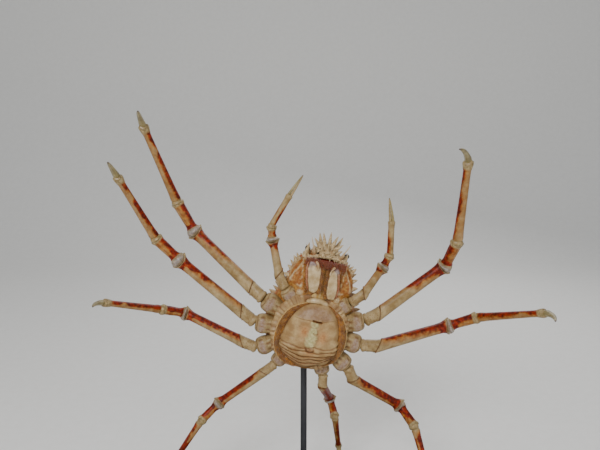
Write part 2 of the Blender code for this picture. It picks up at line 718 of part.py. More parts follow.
def main():
    for obj in list(bpy.data.objects):
        bpy.data.objects.remove(obj)
    group = bpy.data.collections.new("japanese_spider_crab")
    bpy.context.scene.collection.children.link(group)
    crab = bpy.data.objects.new("crab", None)
    crab.location = BODY_PLACE
    group.objects.link(crab)

    cream = material("shell_cream", (0.78, 0.62, 0.42), 0.45)
    pale = material("shell_pale", (0.82, 0.72, 0.52), 0.40)
    orange = material("shell_orange", (0.72, 0.26, 0.09), 0.50)
    black = material("eye_black", (0.02, 0.02, 0.02), 0.15)
    charcoal = material("stand_charcoal", (0.06, 0.06, 0.065), 0.50)

    carapace = build_carapace(group, crab, orange)
    sternum = build_sternum(group, crab, cream)
    sternum_socket = grown(sternum)
    set_in = [build_leg(name, group, crab, cream, pale) for name in POSE]
    set_in.append(build_abdomen(group, crab, cream))
    combine(sternum, [grown(obj) for obj in set_in], "DIFFERENCE")
    for side_name, side in (("left", 1), ("right", -1)):
        set_in.append(build_maxilliped(side_name, side, group, crab, pale))
        set_in.append(build_eye(side_name, side, group, crab, black))
        set_in.append(build_antenna(side_name, side, group, crab, pale))
    stand_socket = grown(build_stand(group, charcoal), -BODY_PLACE)
    sockets = [sternum_socket, stand_socket] + [grown(obj) for obj in set_in]
    combine(carapace, sockets, "DIFFERENCE", solver="MANIFOLD")


main()
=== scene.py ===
# Looks of a life-size display model of a Japanese spider crab: every shell
# plate, spine and bristle, their finishes, the stand, floor, lights and camera.
# Metres, +Z up, the crab's belly towards -Y and its left side on +X.

import math
import random

import bpy
import numpy as np
from mathutils import Matrix, Vector, noise


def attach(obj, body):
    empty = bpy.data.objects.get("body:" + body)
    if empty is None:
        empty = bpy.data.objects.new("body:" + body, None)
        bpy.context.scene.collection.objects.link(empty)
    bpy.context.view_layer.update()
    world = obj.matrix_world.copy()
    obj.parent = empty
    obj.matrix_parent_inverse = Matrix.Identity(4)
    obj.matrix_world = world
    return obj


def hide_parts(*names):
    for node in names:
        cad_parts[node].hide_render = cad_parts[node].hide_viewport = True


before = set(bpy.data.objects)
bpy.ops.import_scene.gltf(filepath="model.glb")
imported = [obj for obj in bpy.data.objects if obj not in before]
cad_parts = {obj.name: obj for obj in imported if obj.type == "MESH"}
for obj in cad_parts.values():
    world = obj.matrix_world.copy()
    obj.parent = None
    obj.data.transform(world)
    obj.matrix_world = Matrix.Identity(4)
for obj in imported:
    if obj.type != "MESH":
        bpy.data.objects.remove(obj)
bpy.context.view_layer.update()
bpy.ops.object.select_all(action="DESELECT")

# Places on the body are (across, away from the viewer, towards the head)
body = {
    "middle": Vector((0.03, 0.0, 0.39)),
    "headTilt": math.radians(13),
}
lean = Matrix.Rotation(body["headTilt"], 3, "Y")
viewer = Vector((0, -1, 0))


def bodyPoint(place, side=1):
    return body["middle"] + lean @ Vector((side * place[0], place[1], place[2]))


def pointing(clock, away):
    clock = math.radians(clock)
    away = math.radians(away)
    return Vector((math.cos(away) * math.sin(clock), math.sin(away), math.cos(away) * math.cos(clock)))


def squared(direction, way):
    # what a direction has at right angles to a way
    return (direction - direction.dot(way) * way).normalized()


def ease(low, high, value):
    t = min(1.0, max(0.0, (value - low) / (high - low)))
    return t * t * (3 - 2 * t)


def hump(middle, width, value):
    return math.exp(-((value - middle) / width) ** 2)


def fullRound(value, power):
    return math.copysign(abs(value) ** power, value)


def uneven(x, y, z, scale=1):
    return noise.noise(Vector((x, y, z)) * scale)


def turns(count):
    return [2 * math.pi * k / count for k in range(count)]


def acrossShares(count):
    return [-1 + 2 * k / count for k in range(count + 1)]


def stationAt(table, spot):
    # a row of a table, worked out between its rows
    return [float(np.interp(spot, range(len(table)), column)) for column in zip(*table)]


def fromMm(value):
    # tables of lengths are in millimetres, and the scene is in metres
    if isinstance(value, dict):
        return {key: fromMm(part) for key, part in value.items()}
    return value / 1000 if isinstance(value, (int, float)) else [fromMm(part) for part in value]


# Colours are sRGB codes, as read off a paint chart
def linear(code):
    values = [int(code[i:i + 2], 16) / 255 for i in (1, 3, 5)]
    return [v / 12.92 if v <= 0.04045 else ((v + 0.055) / 1.055) ** 2.4 for v in values] + [1.0]


def addNode(tree, kind, values=None, links=None, **settings):
    made = tree.nodes.new(kind)
    for key, value in settings.items():
        setattr(made, key, value)
    for socket, value in (values or {}).items():
        made.inputs[socket].default_value = value
    for socket, source in (links or {}).items():
        tree.links.new(source, made.inputs[socket])
    return made


def finishMaterial(name, look):
    made = bpy.data.materials.new(name)
    made.use_nodes = True
    tree = made.node_tree
    shader = tree.nodes["Principled BSDF"]
    place = addNode(tree, "ShaderNodeTexCoord").outputs["Object"]

    def patches(scale, detail, rough=0.5):
        values = {"Scale": scale, "Detail": detail, "Roughness": rough}
        return addNode(tree, "ShaderNodeTexNoise", values, {"Vector": place}).outputs["Fac"]

    def spread(source, low, high, least=0.0, most=1.0):
        values = {"From Min": low, "From Max": high, "To Min": least, "To Max": most}
        return addNode(tree, "ShaderNodeMapRange", values, {"Value": source}).outputs[0]

    def sums(operation, values, links):
        return addNode(tree, "ShaderNodeMath", values, links, operation=operation).outputs[0]

    def mixed(values, links, blend="MIX"):
        return addNode(tree, "ShaderNodeMix", values, links, data_type="RGBA", blend_type=blend).outputs[2]

    colour = mixed({6: linear(look["dark"]), 7: linear(look["light"])},
                   {0: spread(patches(1000 / look["blotchMm"], 4.0), 0.36, 0.64)})
    # each mark is painted where its attribute on the mesh says, with a ragged edge
    for word, deep, bright, millimetres, ragged, soft in look.get("marks", []):
        mark = addNode(tree, "ShaderNodeAttribute", attribute_name=word).outputs["Fac"]
        shift = sums("MULTIPLY_ADD", {1: ragged, 2: -ragged / 2}, {0: patches(1000 / millimetres, 5.0, 0.62)})
        mask = spread(sums("ADD", {}, {0: mark, 1: shift}), 0.5 - soft, 0.5 + soft)
        paint = mixed({6: linear(deep), 7: linear(bright)},
                      {0: spread(patches(1700 / millimetres, 3.0), 0.4, 0.62)})
        colour = mixed({}, {0: mask, 6: colour, 7: paint})
    speck = patches(1000 / look["speckMm"], 2.0)
    dim = spread(speck, 0.3, 0.62, 1 - look["speck"])
    tree.links.new(mixed({0: 1.0}, {6: colour, 7: dim}, "MULTIPLY"), shader.inputs["Base Color"])
    tree.links.new(spread(speck, 0.35, 0.65, *look["roughness"]), shader.inputs["Roughness"])
    grit = addNode(tree, "ShaderNodeTexVoronoi", {"Scale": 1000 / look["gritMm"]}, {"Vector": place},
                   feature="SMOOTH_F1")
    height = sums("MULTIPLY_ADD", {1: 0.8}, {0: grit.outputs["Distance"], 2: speck})
    relief = addNode(tree, "ShaderNodeBump",
                     {"Strength": look["relief"], "Distance": look["reliefMm"] / 1000}, {"Height": height})
    tree.links.new(relief.outputs[0], shader.inputs["Normal"])
    for socket, value in look.get("shader", {}).items():
        shader.inputs[socket].default_value = value
    return made


print("materials")
looks = {
    # calcified shell: pale underside, washed over with red where the back comes round, satin when wet
    "calcified_leg_shell": {
        "dark": "#8A7046", "light": "#AE966C", "blotchMm": 16, "speckMm": 2.2, "speck": 0.16,
        "gritMm": 3.2, "relief": 0.3, "reliefMm": 0.5, "roughness": (0.34, 0.52),
        "marks": [
            ("lilac", "#8E705C", "#A28C82", 9, 0.3, 0.4),
            ("orangeWash", "#86440A", "#AA6E26", 12, 0.6, 0.32),
            ("redReach", "#520E00", "#8E2400", 12, 1.05, 0.14),
            ("palePatch", "#88744E", "#B09A70", 7, 0.2, 0.34),
            ("brown", "#4E2C16", "#7A4C28", 5, 0.25, 0.3),
            ("freckle", "#5A3A1C", "#7A5430", 2.2, 1.6, 0.06),
        ],
        "shader": {"Coat Weight": 0.03, "Coat Roughness": 0.2, "IOR": 1.45, "Specular IOR Level": 0.22},
    },
    # the apron over the belly: thinner shell, beige with lilac and greenish bone-like parts
    "calcified_apron_shell": {
        "dark": "#98764A", "light": "#BC9E6E", "blotchMm": 20, "speckMm": 2.0, "speck": 0.14,
        "gritMm": 2.6, "relief": 0.28, "reliefMm": 0.45, "roughness": (0.36, 0.55),
        "marks": [
            ("lilac", "#7C5C44", "#907464", 9, 0.35, 0.42),
            ("rust", "#9E5E2C", "#B67E48", 7, 0.35, 0.45),
            ("greenish", "#A69A66", "#C8BC88", 8, 0.3, 0.35),
            ("brown", "#5C3418", "#80502A", 5, 0.25, 0.35),
            # crease is painted shade: in the creases of the apron's folds and the breastplate's folds, at the
            # foot of the telson's step and over the apron's lower left
            ("crease", "#5E3818", "#80522A", 4, 0.2, 0.4),
        ],
        "shader": {"Coat Weight": 0.04, "Coat Roughness": 0.25, "IOR": 1.48, "Specular IOR Level": 0.3},
    },
    # the knobbly back: brick orange with paler knobs
    "calcified_back_shell": {
        "dark": "#A63E17", "light": "#C9682F", "blotchMm": 24, "speckMm": 2.4, "speck": 0.28,
        "gritMm": 2.8, "relief": 0.55, "reliefMm": 0.8, "roughness": (0.42, 0.62),
        "marks": [
            ("underside", "#90561A", "#B4823E", 10, 0.4, 0.3),
            ("mouthRed", "#6E1600", "#A23C10", 6, 0.55, 0.28),
            ("palePatch", "#AE9066", "#D0BA90", 5, 0.3, 0.22),
        ],
        "shader": {"Coat Weight": 0.05, "Coat Roughness": 0.25, "IOR": 1.5, "Specular IOR Level": 0.3},
    },
    # soft skin of the joints: smooth and milky, bluish at the knees
    "joint_skin": {
        "dark": "#7E6840", "light": "#A48C60", "blotchMm": 7, "speckMm": 1.4, "speck": 0.1,
        "gritMm": 2.0, "relief": 0.2, "reliefMm": 0.3, "roughness": (0.3, 0.45),
        "marks": [("lilac", "#827A76", "#A8A098", 7, 0.3, 0.35)],
        "shader": {"Subsurface Weight": 0.15, "Subsurface Scale": 0.003, "IOR": 1.45},
    },
    # the toe tips: denser, polished, horn-like
    "horny_toe_shell": {
        "dark": "#7E6E42", "light": "#A09060", "blotchMm": 14, "speckMm": 1.8, "speck": 0.15,
        "gritMm": 2.4, "relief": 0.22, "reliefMm": 0.4, "roughness": (0.3, 0.45),
        "marks": [
            ("brown", "#3C2410", "#5C3C1E", 5, 0.3, 0.35),
        ],
        "shader": {"Coat Weight": 0.1, "Coat Roughness": 0.2, "IOR": 1.48, "Specular IOR Level": 0.35},
    },
    # mouthparts: pale porcelain-like plates
    "porcelain_mouth_shell": {
        "dark": "#A88A5A", "light": "#CAB288", "blotchMm": 12, "speckMm": 1.8, "speck": 0.12,
        "gritMm": 2.4, "relief": 0.22, "reliefMm": 0.4, "roughness": (0.32, 0.46),
        "marks": [
            ("lilac", "#806A62", "#A08E88", 7, 0.3, 0.4),
            ("redReach", "#7C260C", "#A44C22", 5, 0.55, 0.25),
            ("brown", "#7A4A1C", "#A06C30", 5, 0.3, 0.35),
            ("amber", "#A0700C", "#C49A2E", 6, 0.3, 0.4),
        ],
        "shader": {"Coat Weight": 0.2, "Coat Roughness": 0.18, "IOR": 1.5},
    },
    # bristles: tan chitin, each catching a streak of light
    "golden_bristle": {
        "dark": "#8A4E08", "light": "#C07E1A", "blotchMm": 9, "speckMm": 0.9, "speck": 0.3,
        "gritMm": 1.2, "relief": 0.15, "reliefMm": 0.2, "roughness": (0.34, 0.5),
        "marks": [
            ("pale", "#BE9450", "#D8B87C", 5, 0.2, 0.35),
            ("redReach", "#7A2A12", "#A5482A", 5, 0.3, 0.35),
        ],
        "shader": {"Sheen Weight": 0.25, "Sheen Roughness": 0.4, "IOR": 1.55},
    },
    # wet black eye
    "glossy_eye": {
        "dark": "#0B0908", "light": "#1E1612", "blotchMm": 3, "speckMm": 0.5, "speck": 0.2,
        "gritMm": 0.6, "relief": 0.12, "reliefMm": 0.08, "roughness": (0.06, 0.14),
        "marks": [("stalk", "#B98A5A", "#D2AE80", 4, 0.2, 0.3)],
        "shader": {"Coat Weight": 0.6, "Coat Roughness": 0.04, "IOR": 1.5},
    },
    # powder-coated steel: fine orange-peel texture
    "powder_coated_steel": {
        "dark": "#26272A", "light": "#303136", "blotchMm": 60, "speckMm": 1.6, "speck": 0.12,
        "gritMm": 1.4, "relief": 0.25, "reliefMm": 0.12, "roughness": (0.42, 0.56),
        "shader": {"IOR": 1.5},
    },
}
finishes = {name: finishMaterial(name, look) for name, look in looks.items()}


def settle(piece, finish, replaced=()):
    # the piece gets its finish, rides on the one body and stands for its solids
    piece.data.materials.clear()
    piece.data.materials.append(finishes[finish])
    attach(piece, "root")
    if replaced:
        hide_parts(*replaced)


def softened(piece, levels=1, angle=60):
    if levels:
        rounding = piece.modifiers.new("rounding", "SUBSURF")
        rounding.levels = rounding.render_levels = levels
        bpy.ops.object.modifier_apply(modifier="rounding")
    bpy.ops.object.shade_smooth_by_angle(angle=math.radians(angle))
    return piece


def rolledShell(name, rings, marks=None, levels=1, angle=60):
    # a grid is rolled into a closed shell: row by row its points go to the rings.
    # Each point may have marks, which become attributes of the mesh
    rows, columns = len(rings), len(rings[0])
    bpy.ops.object.select_all(action="DESELECT")
    bpy.ops.mesh.primitive_grid_add(x_subdivisions=columns, y_subdivisions=rows - 1, size=1)
    piece = bpy.context.object
    piece.name = name
    flat = np.empty(len(piece.data.vertices) * 3)
    piece.data.vertices.foreach_get("co", flat)
    flat = flat.reshape(-1, 3)
    column = np.rint((flat[:, 0] + 0.5) * columns).astype(int) % columns
    row = np.rint((flat[:, 1] + 0.5) * (rows - 1)).astype(int)
    places = np.array([[tuple(point) for point in ring] for ring in rings])
    piece.data.vertices.foreach_set("co", places[row, column].ravel())
    for word in (marks[0][0] if marks else ()):
        values = np.array([[found[word] for found in ring] for ring in marks], dtype=np.float32)
        if values.any():
            layer = piece.data.attributes.new(word, "FLOAT", "POINT")
            layer.data.foreach_set("value", values[row, column])
    bpy.ops.object.mode_set(mode="EDIT")
    bpy.ops.mesh.select_all(action="SELECT")
    bpy.ops.mesh.remove_doubles(threshold=0.000001)
    bpy.ops.mesh.fill_holes(sides=0)
    bpy.ops.mesh.normals_make_consistent(inside=False)
    bpy.ops.object.mode_set(mode="OBJECT")
    return softened(piece, levels, angle)


def plotted(rows, columns, pointAt):
    # the rings and the marks of a shell, from a point and its marks at each row and column
    cells = [[pointAt(row, column) for column in columns] for row in rows]
    return [[[cell[part] for cell in line] for line in cells] for part in (0, 1)]


def joined(name, pieces):
    bpy.ops.object.select_all(action="DESELECT")
    for piece in pieces:
        piece.select_set(True)
    bpy.context.view_layer.objects.active = pieces[0]
    if len(pieces) > 1:
        bpy.ops.object.join()
    pieces[0].name = name
    pieces[0].data.name = name
    return pieces[0]


# The legs, from the claw leg back, in millimetres. A segment has its length, its
# shaft's half width and that of its far end
legs = fromMm({
    "claw_leg": {
        "coxaRoot": (44, -8, 60), "hip": (68, -14, 80),
        "coxa": 15, "ischium": (32, 10.5),
        "merus": (78, 8.5, 12), "carpus": (30, 8, 10.5),
        "propodus": (74, 6.8, 6.2), "dactyl": (50, 3),
    },
    "leg_1": {
        "coxaRoot": (72, -6, 34), "hip": (106, -8, 48),
        "coxa": 19, "ischium": (33, 13.5),
        "merus": (168, 12.2, 15.5), "carpus": (70, 11, 13),
        "propodus": (176, 9.2, 7.2), "dactyl": (80, 5.8),
    },
    "leg_2": {
        "coxaRoot": (78, -6, -4), "hip": (112, -8, -6),
        "coxa": 19, "ischium": (34, 13.2),
        "merus": (167, 11.8, 15.5), "carpus": (63, 10.8, 13),
        "propodus": (160, 8.8, 6.8), "dactyl": (76, 5.6),
    },
    "leg_3": {
        "coxaRoot": (68, -4, -42), "hip": (97, -6, -60),
        "coxa": 18, "ischium": (32, 12),
        "merus": (146, 10.4, 13.8), "carpus": (56, 9.6, 11.6),
        "propodus": (138, 8, 6.2), "dactyl": (70, 5.2),
    },
    "leg_4": {
        "coxaRoot": (38, 2, -62), "hip": (52, 0, -90),
        "coxa": 15, "ischium": (28, 10.2),
        "merus": (128, 9.4, 12.2), "carpus": (50, 8.6, 10.4),
        "propodus": (126, 7.2, 5.8), "dactyl": (66, 4.8),
    },
})
segments = ("ischium", "merus", "carpus", "propodus", "dactyl")

# Clock angle in the upright plane and lean away, in degrees, ischium to dactyl
pose = {
    "claw_leg_right": [(-28, 36), (-13, 32), (-3, -7), (31, 5), (34, 4)],
    "leg_1_right": [(-53, 22), (-48, 15), (-29, 2), (-16, -21), (24, -68)],
    "leg_2_right": [(-52, 8), (-50, 4), (-44, -2), (-19, -28), (12, -64)],
    "leg_3_right": [(-68, 4), (-72, 23), (-66, -33), (-61, -44), (19, -77)],
    "leg_4_right": [(-122, -17), (-129, 7), (-130, -24), (-148, 4), (-170, -8)],
    "claw_leg_left": [(56, 4), (46, 38), (27, -3), (0, -6), (-8, -6)],
    "leg_1_left": [(69, 16), (54, 5), (12, -31), (-2, -21), (-54, -56)],
    "leg_2_left": [(90, -6), (81, 17), (63, -20), (58, -50), (-53, -76)],
    "leg_3_left": [(158, 8), (128, 18), (136, -48), (165, -28), (172, -61)],
    "leg_4_left": [(182, 2), (165, 50), (158, -60), (173, 28), (176, -62)],
}
standing = {"legs": ("leg_4_right", "leg_3_left", "leg_4_left"), "toeHeight": 0.0183}

# How much of its width, seen from the belly side, is red, in hundredths: (share of
# the length, share of the width from the edge towards the head; above 100 is a full ring)
redShare = {
    "claw_leg_right": {
        "merus": [(0, 0), (62, 0), (70, 35), (76, 110), (90, 110)],
        "carpus": [(10, 30), (25, 45), (50, 70), (65, 35), (85, 30)],
        "propodus": [(0, 0), (12, 30), (30, 55), (50, 55), (62, 25), (80, 0)],
    },
    "claw_leg_left": {
        "merus": [(0, 0), (74, 0), (79, 60), (84, 85), (90, 80)],
        "carpus": [(10, 80), (35, 100), (55, 70), (80, 20)],
        "propodus": [(0, 20), (10, 45), (45, 45), (55, 15), (80, 0)],
    },
    "leg_1_right": {
        "merus": [(0, 0), (38, 0), (46, 8), (52, 25), (60, 25), (65, 12),
                  (70, 42), (80, 48), (88, 65), (92, 100), (96, 110)],
        "carpus": [(8, 110), (22, 100), (32, 50), (50, 35), (70, 40), (92, 45)],
        "propodus": [(4, 30), (15, 38), (30, 48), (52, 52), (62, 42),
                     (68, 3), (73, 12), (82, 50), (96, 62)],
    },
    "leg_2_right": {
        "merus": [(0, 5), (15, 10), (30, 10), (45, 12), (56, 28), (60, 55), (64, 55),
                  (69, 22), (76, 45), (84, 65), (90, 110), (96, 110)],
        "carpus": [(8, 110), (26, 100), (36, 55), (50, 45), (75, 45), (92, 42)],
        "propodus": [(3, 35), (14, 30), (22, 18), (30, 38), (42, 55), (62, 52),
                     (68, 2), (76, 2), (82, 52), (96, 68)],
    },
    "leg_3_right": {
        "merus": [(0, 30), (15, 42), (40, 42), (60, 48), (72, 65), (80, 80), (87, 110), (95, 110)],
        "carpus": [(8, 100), (28, 90), (42, 62), (62, 75), (80, 60), (92, 60)],
        "propodus": [(3, 50), (12, 50), (20, 40), (34, 45), (42, 70), (60, 65),
                     (66, 5), (70, 10), (78, 60), (96, 55)],
    },
    "leg_4_right": {
        "merus": [(0, 0), (14, 15), (24, 55), (40, 45), (52, 65), (62, 50),
                  (74, 75), (84, 70), (90, 110), (96, 110)],
        "carpus": [(10, 80), (30, 95), (46, 60), (60, 90), (72, 70), (84, 30), (95, 20)],
        "propodus": [(3, 20), (12, 60), (20, 70), (27, 25), (36, 75), (50, 100), (90, 110)],
    },
    "leg_1_left": {
        "merus": [(0, 0), (46, 0), (53, 30), (60, 50), (66, 32), (74, 45),
                  (82, 55), (88, 90), (93, 110), (96, 110)],
        "carpus": [(6, 110), (22, 100), (34, 38), (50, 32), (62, 40), (76, 60), (92, 35)],
        "propodus": [(3, 10), (28, 14), (36, 22), (42, 32), (60, 34), (67, 4), (74, 6), (82, 28), (96, 28)],
    },
    "leg_2_left": {
        "merus": [(0, 0), (12, 16), (25, 25), (37, 22), (45, 45), (55, 55),
                  (66, 45), (74, 48), (82, 75), (88, 110), (96, 110)],
        "carpus": [(6, 110), (26, 100), (38, 55), (56, 45), (75, 50), (92, 45)],
        "propodus": [(3, 45), (14, 35), (28, 35), (36, 50), (58, 50),
                     (66, 10), (73, 4), (82, 50), (96, 60)],
    },
    "leg_3_left": {
        "merus": [(0, 0), (8, 20), (16, 55), (30, 40), (40, 45), (50, 70), (70, 70), (90, 95), (96, 100)],
        "carpus": [(6, 100), (28, 100), (42, 70), (55, 85), (66, 70), (74, 20), (92, 10)],
        "propodus": [(3, 10), (12, 50), (20, 90), (32, 75), (40, 90), (52, 60), (62, 100), (95, 100)],
    },
    "leg_4_left": {
        "merus": [(0, 30), (15, 90), (40, 100), (80, 100), (96, 110)],
        "carpus": [(6, 100), (30, 90), (46, 65), (60, 50), (80, 100), (94, 90)],
        "propodus": [(3, 20), (12, 40), (22, 70), (36, 60), (46, 85), (60, 40), (70, 90), (95, 100)],
    },
}

limbForm = {
    "columns": 20,
    "thickness": 0.9,
    "waver": 0.018,
    "longestStep": 0.0065,
    "bendAtRoot": (0.016, 0.002),  # where a leg bends, its end rings turn within these lengths
    "bendAtTip": (0.014, 0.001),
    "redMost": 0.7,  # below 1 lets the orange show through in patches
    "marks": ("redReach", "orangeWash", "lilac", "palePatch", "brown", "freckle", "clear"),
}


def limbPlaces(name):
    pair, sideName = name.rsplit("_", 1)
    side = 1 if sideName == "left" else -1
    sizes = legs[pair]
    places = [bodyPoint(sizes["coxaRoot"], side), bodyPoint(sizes["hip"], side)]
    for segment, (clock, away) in zip(segments, pose[name]):
        places.append(places[-1] + sizes[segment][0] * pointing(clock, away))
    if name in standing["legs"]:
        ankle, toe = places[-2:]
        places[-1] = ankle + (toe - ankle) * (ankle.z - standing["toeHeight"]) / (ankle.z - toe.z)
    return sizes, side, places


def segmentRows(length, *stretches):
    # a stretch of a segment has one half width and its rows: share of the length, metres past
    # it, share of the half width and, if any, hinge flare and lip cut on the inner side
    rows = [(half, row + (0,) * (5 - len(row))) for half, table in stretches for row in table]
    return [(share * length + past, half * width, half * flare, cut)
            for half, (share, past, width, flare, cut) in rows]


def limbSegment(name, start, end, side, rows, reach=None, bow=None, marks=None, levels=1,
                facing=(None, None)):
    # facing is the way that the first and the last rings look where a leg bends
    way = (end - start).normalized()
    length = (end - start).length
    inner = squared(viewer, way)
    hinge = inner.cross(way)
    fine = [(rows[0], rows[0], 0.0)]
    for low, high in zip(rows, rows[1:]):
        steps = max(1, math.ceil(abs(high[0] - low[0]) / limbForm["longestStep"]))
        fine += [(low, high, k / steps) for k in range(1, steps + 1)]
    seedPlace = start * 37

    def pointAt(row, turn):
        low, high, mix = row
        along, width, flare, cut = [a + (b - a) * mix for a, b in zip(low, high)]
        share = min(1.0, max(0.0, along / length))
        middle = start + way * along + (bow or Vector()) * 4 * share * (1 - share)
        across, up = math.cos(turn), math.sin(turn)
        wave = 1 + limbForm["waver"] * noise.noise(seedPlace + Vector((across, up, along * 60)))
        wide = (width * wave + flare * abs(across) ** 14) * fullRound(across, 0.94)
        deep = width * limbForm["thickness"] * wave * fullRound(up, 0.94)
        back = cut * (max(0.0, up) ** 0.8 - 0.25 * abs(across) ** 9)
        offset = hinge * wide + inner * deep
        turned = (ease(*limbForm["bendAtRoot"], along),
                  ease(length - limbForm["bendAtTip"][0], length - limbForm["bendAtTip"][1], along))
        for look, amount in zip(facing, turned):
            if look:
                back += amount * offset.dot(look) / way.dot(look)
        # 0 is the middle of the back, 90 the edge towards the head
        angle = math.degrees(math.atan2(side * across, -up))
        red = orange = 0.0
        if reach:
            part = float(np.interp(share, *([value / 100 for value in column] for column in zip(*reach))))
            front = 90 + math.degrees(math.acos(1 - 2 * min(1.0, part))) + 300 * max(0.0, part - 0.95)
            rear = min(235.0, max(45.0, 62 + (front - 140) * 1.2))
            red = min(1.0, max(0.0, 0.5 + min(front - angle, angle + rear) / 70))
            orange = 0.85 * min(1.0, max(0.0, 0.5 + min(front + 26 - angle, angle + rear + 20) / 90))
        found = dict.fromkeys(limbForm["marks"], 0.0)
        found.update(marks(share, along, angle, up) if marks else {})
        # the back of every segment is red with pale spots
        spot = noise.noise(middle * 48 + Vector((across, up, seedPlace.x)) * 1.1)
        red = max(red, 0.85 * ease(88, 56, abs(angle)))
        pale = 0.85 * ease(96, 60, abs(angle)) * ease(0.2, 0.42, spot)
        painted = 1 - found.pop("clear")
        found["palePatch"] = max(found["palePatch"], pale)
        found["redReach"] = limbForm["redMost"] * red * painted
        found["orangeWash"] = min(1.0, max(orange, 0.8 * red, found["orangeWash"])) * painted
        return middle + offset - way * back, found

    return rolledShell(name, *plotted(fine, turns(limbForm["columns"]), pointAt), levels)


def collarMarks(length, rootPale=0.004, tipPale=0.011, blue=0.2, wash=0.34):
    # pale, clear ends at the joints, some bluish on the inner side
    def marks(share, along, angle, up):
        far = ease(length - tipPale - 0.006, length - tipPale + 0.003, along)
        near = 1 - ease(rootPale - 0.001, rootPale + 0.004, along)
        clear = max(far, near)
        return {"clear": clear, "palePatch": clear * 0.9, "lilac": far * blue * max(0.0, up),
                "orangeWash": wash}
    return marks


def coxaShell(name, start, end, side, half):
    # a bulb with a raised pad on its face, two knobs beside the next joint
    length = (end - start).length
    rows = segmentRows(length, (half, [
        (-0.36, 0, 0.62), (-0.24, 0, 0.78), (-0.08, 0, 0.93), (0.08, 0, 1),
        (0.16, 0, 0.985), (0.24, 0, 1.05), (0.5, 0, 1.12), (0.66, 0, 1.07, 0.03),
        (0.78, 0, 0.94, 0.14), (0.86, 0, 0.82, 0.2), (0.92, 0, 0.74, 0.08),
        (0.965, 0, 0.66), (0.97, 0, 0.52), (0.94, 0, 0.05)]))

    def marks(share, along, angle, up):
        pad = math.hypot((share - 0.58) / 0.25, (abs(angle) - 172) / 52)
        belly = ease(60, 100, abs(angle))
        # the folds towards the breastplate carry a painted highlight on their crests and painted shade in
        # their troughs
        wave = math.cos(math.cos(math.radians(angle - 90)) * 10.5) * ease(0.44, 0.3, share) * max(0.0, up)
        return {"lilac": 0.72 * (1 - ease(0.7, 1.0, pad)), "freckle": 0.32,
                "palePatch": max(hump(1.08, 0.13, pad) * belly, 0.75 * wave),
                "brown": max(0.75 * hump(0.93, 0.035, pad) * belly, 0.6 * hump(0.86, 0.03, share),
                             -0.72 * wave),
                "orangeWash": 0.45 * ease(110, 50, abs(angle))}

    piece = limbSegment(name, start, end, side, rows, marks=marks, levels=0)
    # the pad's rim and the folds towards the breastplate
    way = (end - start).normalized()
    inner = squared(viewer, way)
    hinge = inner.cross(way)
    for corner in piece.data.vertices:
        place = corner.co - start
        share = place.dot(way) / length
        across, up = place.dot(hinge) / half, place.dot(inner) / half
        if up > 0:
            pad = math.hypot((share - 0.58) / 0.25, across / 0.78)
            rise = 0.0024 * hump(1.08, 0.16, pad) - 0.0018 * hump(0.86, 0.12, pad)
            rise = rise - 0.001 * hump(1.4, 0.14, pad) + 0.001 * noise.noise(corner.co * 130)
            fold = 0.0024 * math.cos(across * 10.5) * ease(0.46, 0.3, share)
            corner.co += inner * (rise + fold) * min(1.0, up * 1.6)
    return softened(piece)


def ischiumShell(name, start, end, side, half, seam):
    rows = segmentRows((end - start).length, (half, [
        (-0.06, 0, 0.55), (0.01, 0, 0.86), (0.06, 0, 0.98, 0.1), (0.16, 0, 1, 0.12),
        (0.24, 0, 0.93), (0.28, 0, 0.92), (0.33, 0, 0.97, 0.03), (0.6, 0, 0.96),
        (0.86, 0, 0.98, 0.02), (0.94, 0, 1, 0.16), (0.985, 0, 1, 0.12), (0.992, 0, 0.97),
        (0.985, 0, 0.82), (0.93, 0, 0.05)]))

    def marks(share, along, angle, up):
        return {"palePatch": 0.4 * hump(0.9, 0.06, share), "orangeWash": 0.4 * ease(110, 40, abs(angle)),
                "brown": 0.5 * hump(0.265, 0.025, share) + 0.6 * ease(0.972, 0.988, share), "freckle": 0.34}
    return limbSegment(name, start, end, side, rows, marks=marks, facing=(None, seam))


def merusShell(name, start, end, side, sizes, reach, seam):
    length, shaft, knee = sizes["merus"]
    neck = sizes["ischium"][1]
    rows = segmentRows(
        length,
        (neck, [(0, -0.002, 0.6), (0, 0.0004, 0.96), (0, 0.002, 1, 0.03), (0, 0.01, 0.99)]),
        ((neck + shaft) / 2, [(0.1, 0, 1.01)]),
        (shaft, [(0.22, 0, 1.04), (0.5, 0, 1), (0.8, 0, 0.96), (0.88, 0, 1), (1, -0.016, 1.04)]),
        ((shaft + knee) / 2, [(1, -0.011, 1, 0, 0.001)]),
        (knee, [(1, -0.007, 0.96, 0.14, 0.005), (1, -0.0035, 0.94, 0.46, 0.009),
                (1, -0.001, 0.84, 0.56, 0.011), (1, -0.0015, 0.78, 0, 0.0105),
                (1, -0.006, 0.5, 0, 0.004), (1, -0.008, 0.05)]))

    def marks(share, along, angle, up):
        # the red fades into bluish skin on the belly side, cream at the hinges
        blue = ease(length - 0.013, length - 0.007, along) * max(0.0, up) ** 0.6
        lip = ease(length - 0.0065, length - 0.0015, along)
        corner = ease(length - 0.014, length - 0.005, along) * hump(90, 26, abs(angle))
        return {"clear": max(blue, lip, corner), "palePatch": max(0.8 * lip, 0.9 * corner),
                "lilac": 0.8 * blue, "brown": 0.75 * ease(0.003, 0.0008, along),
                "freckle": 0.26 * ease(0.3, 0.1, share), "orangeWash": 0.05 + 0.3 * ease(0.25, 0.6, share)}
    return limbSegment(name, start, end, side, rows, reach, marks=marks, facing=(seam, None))


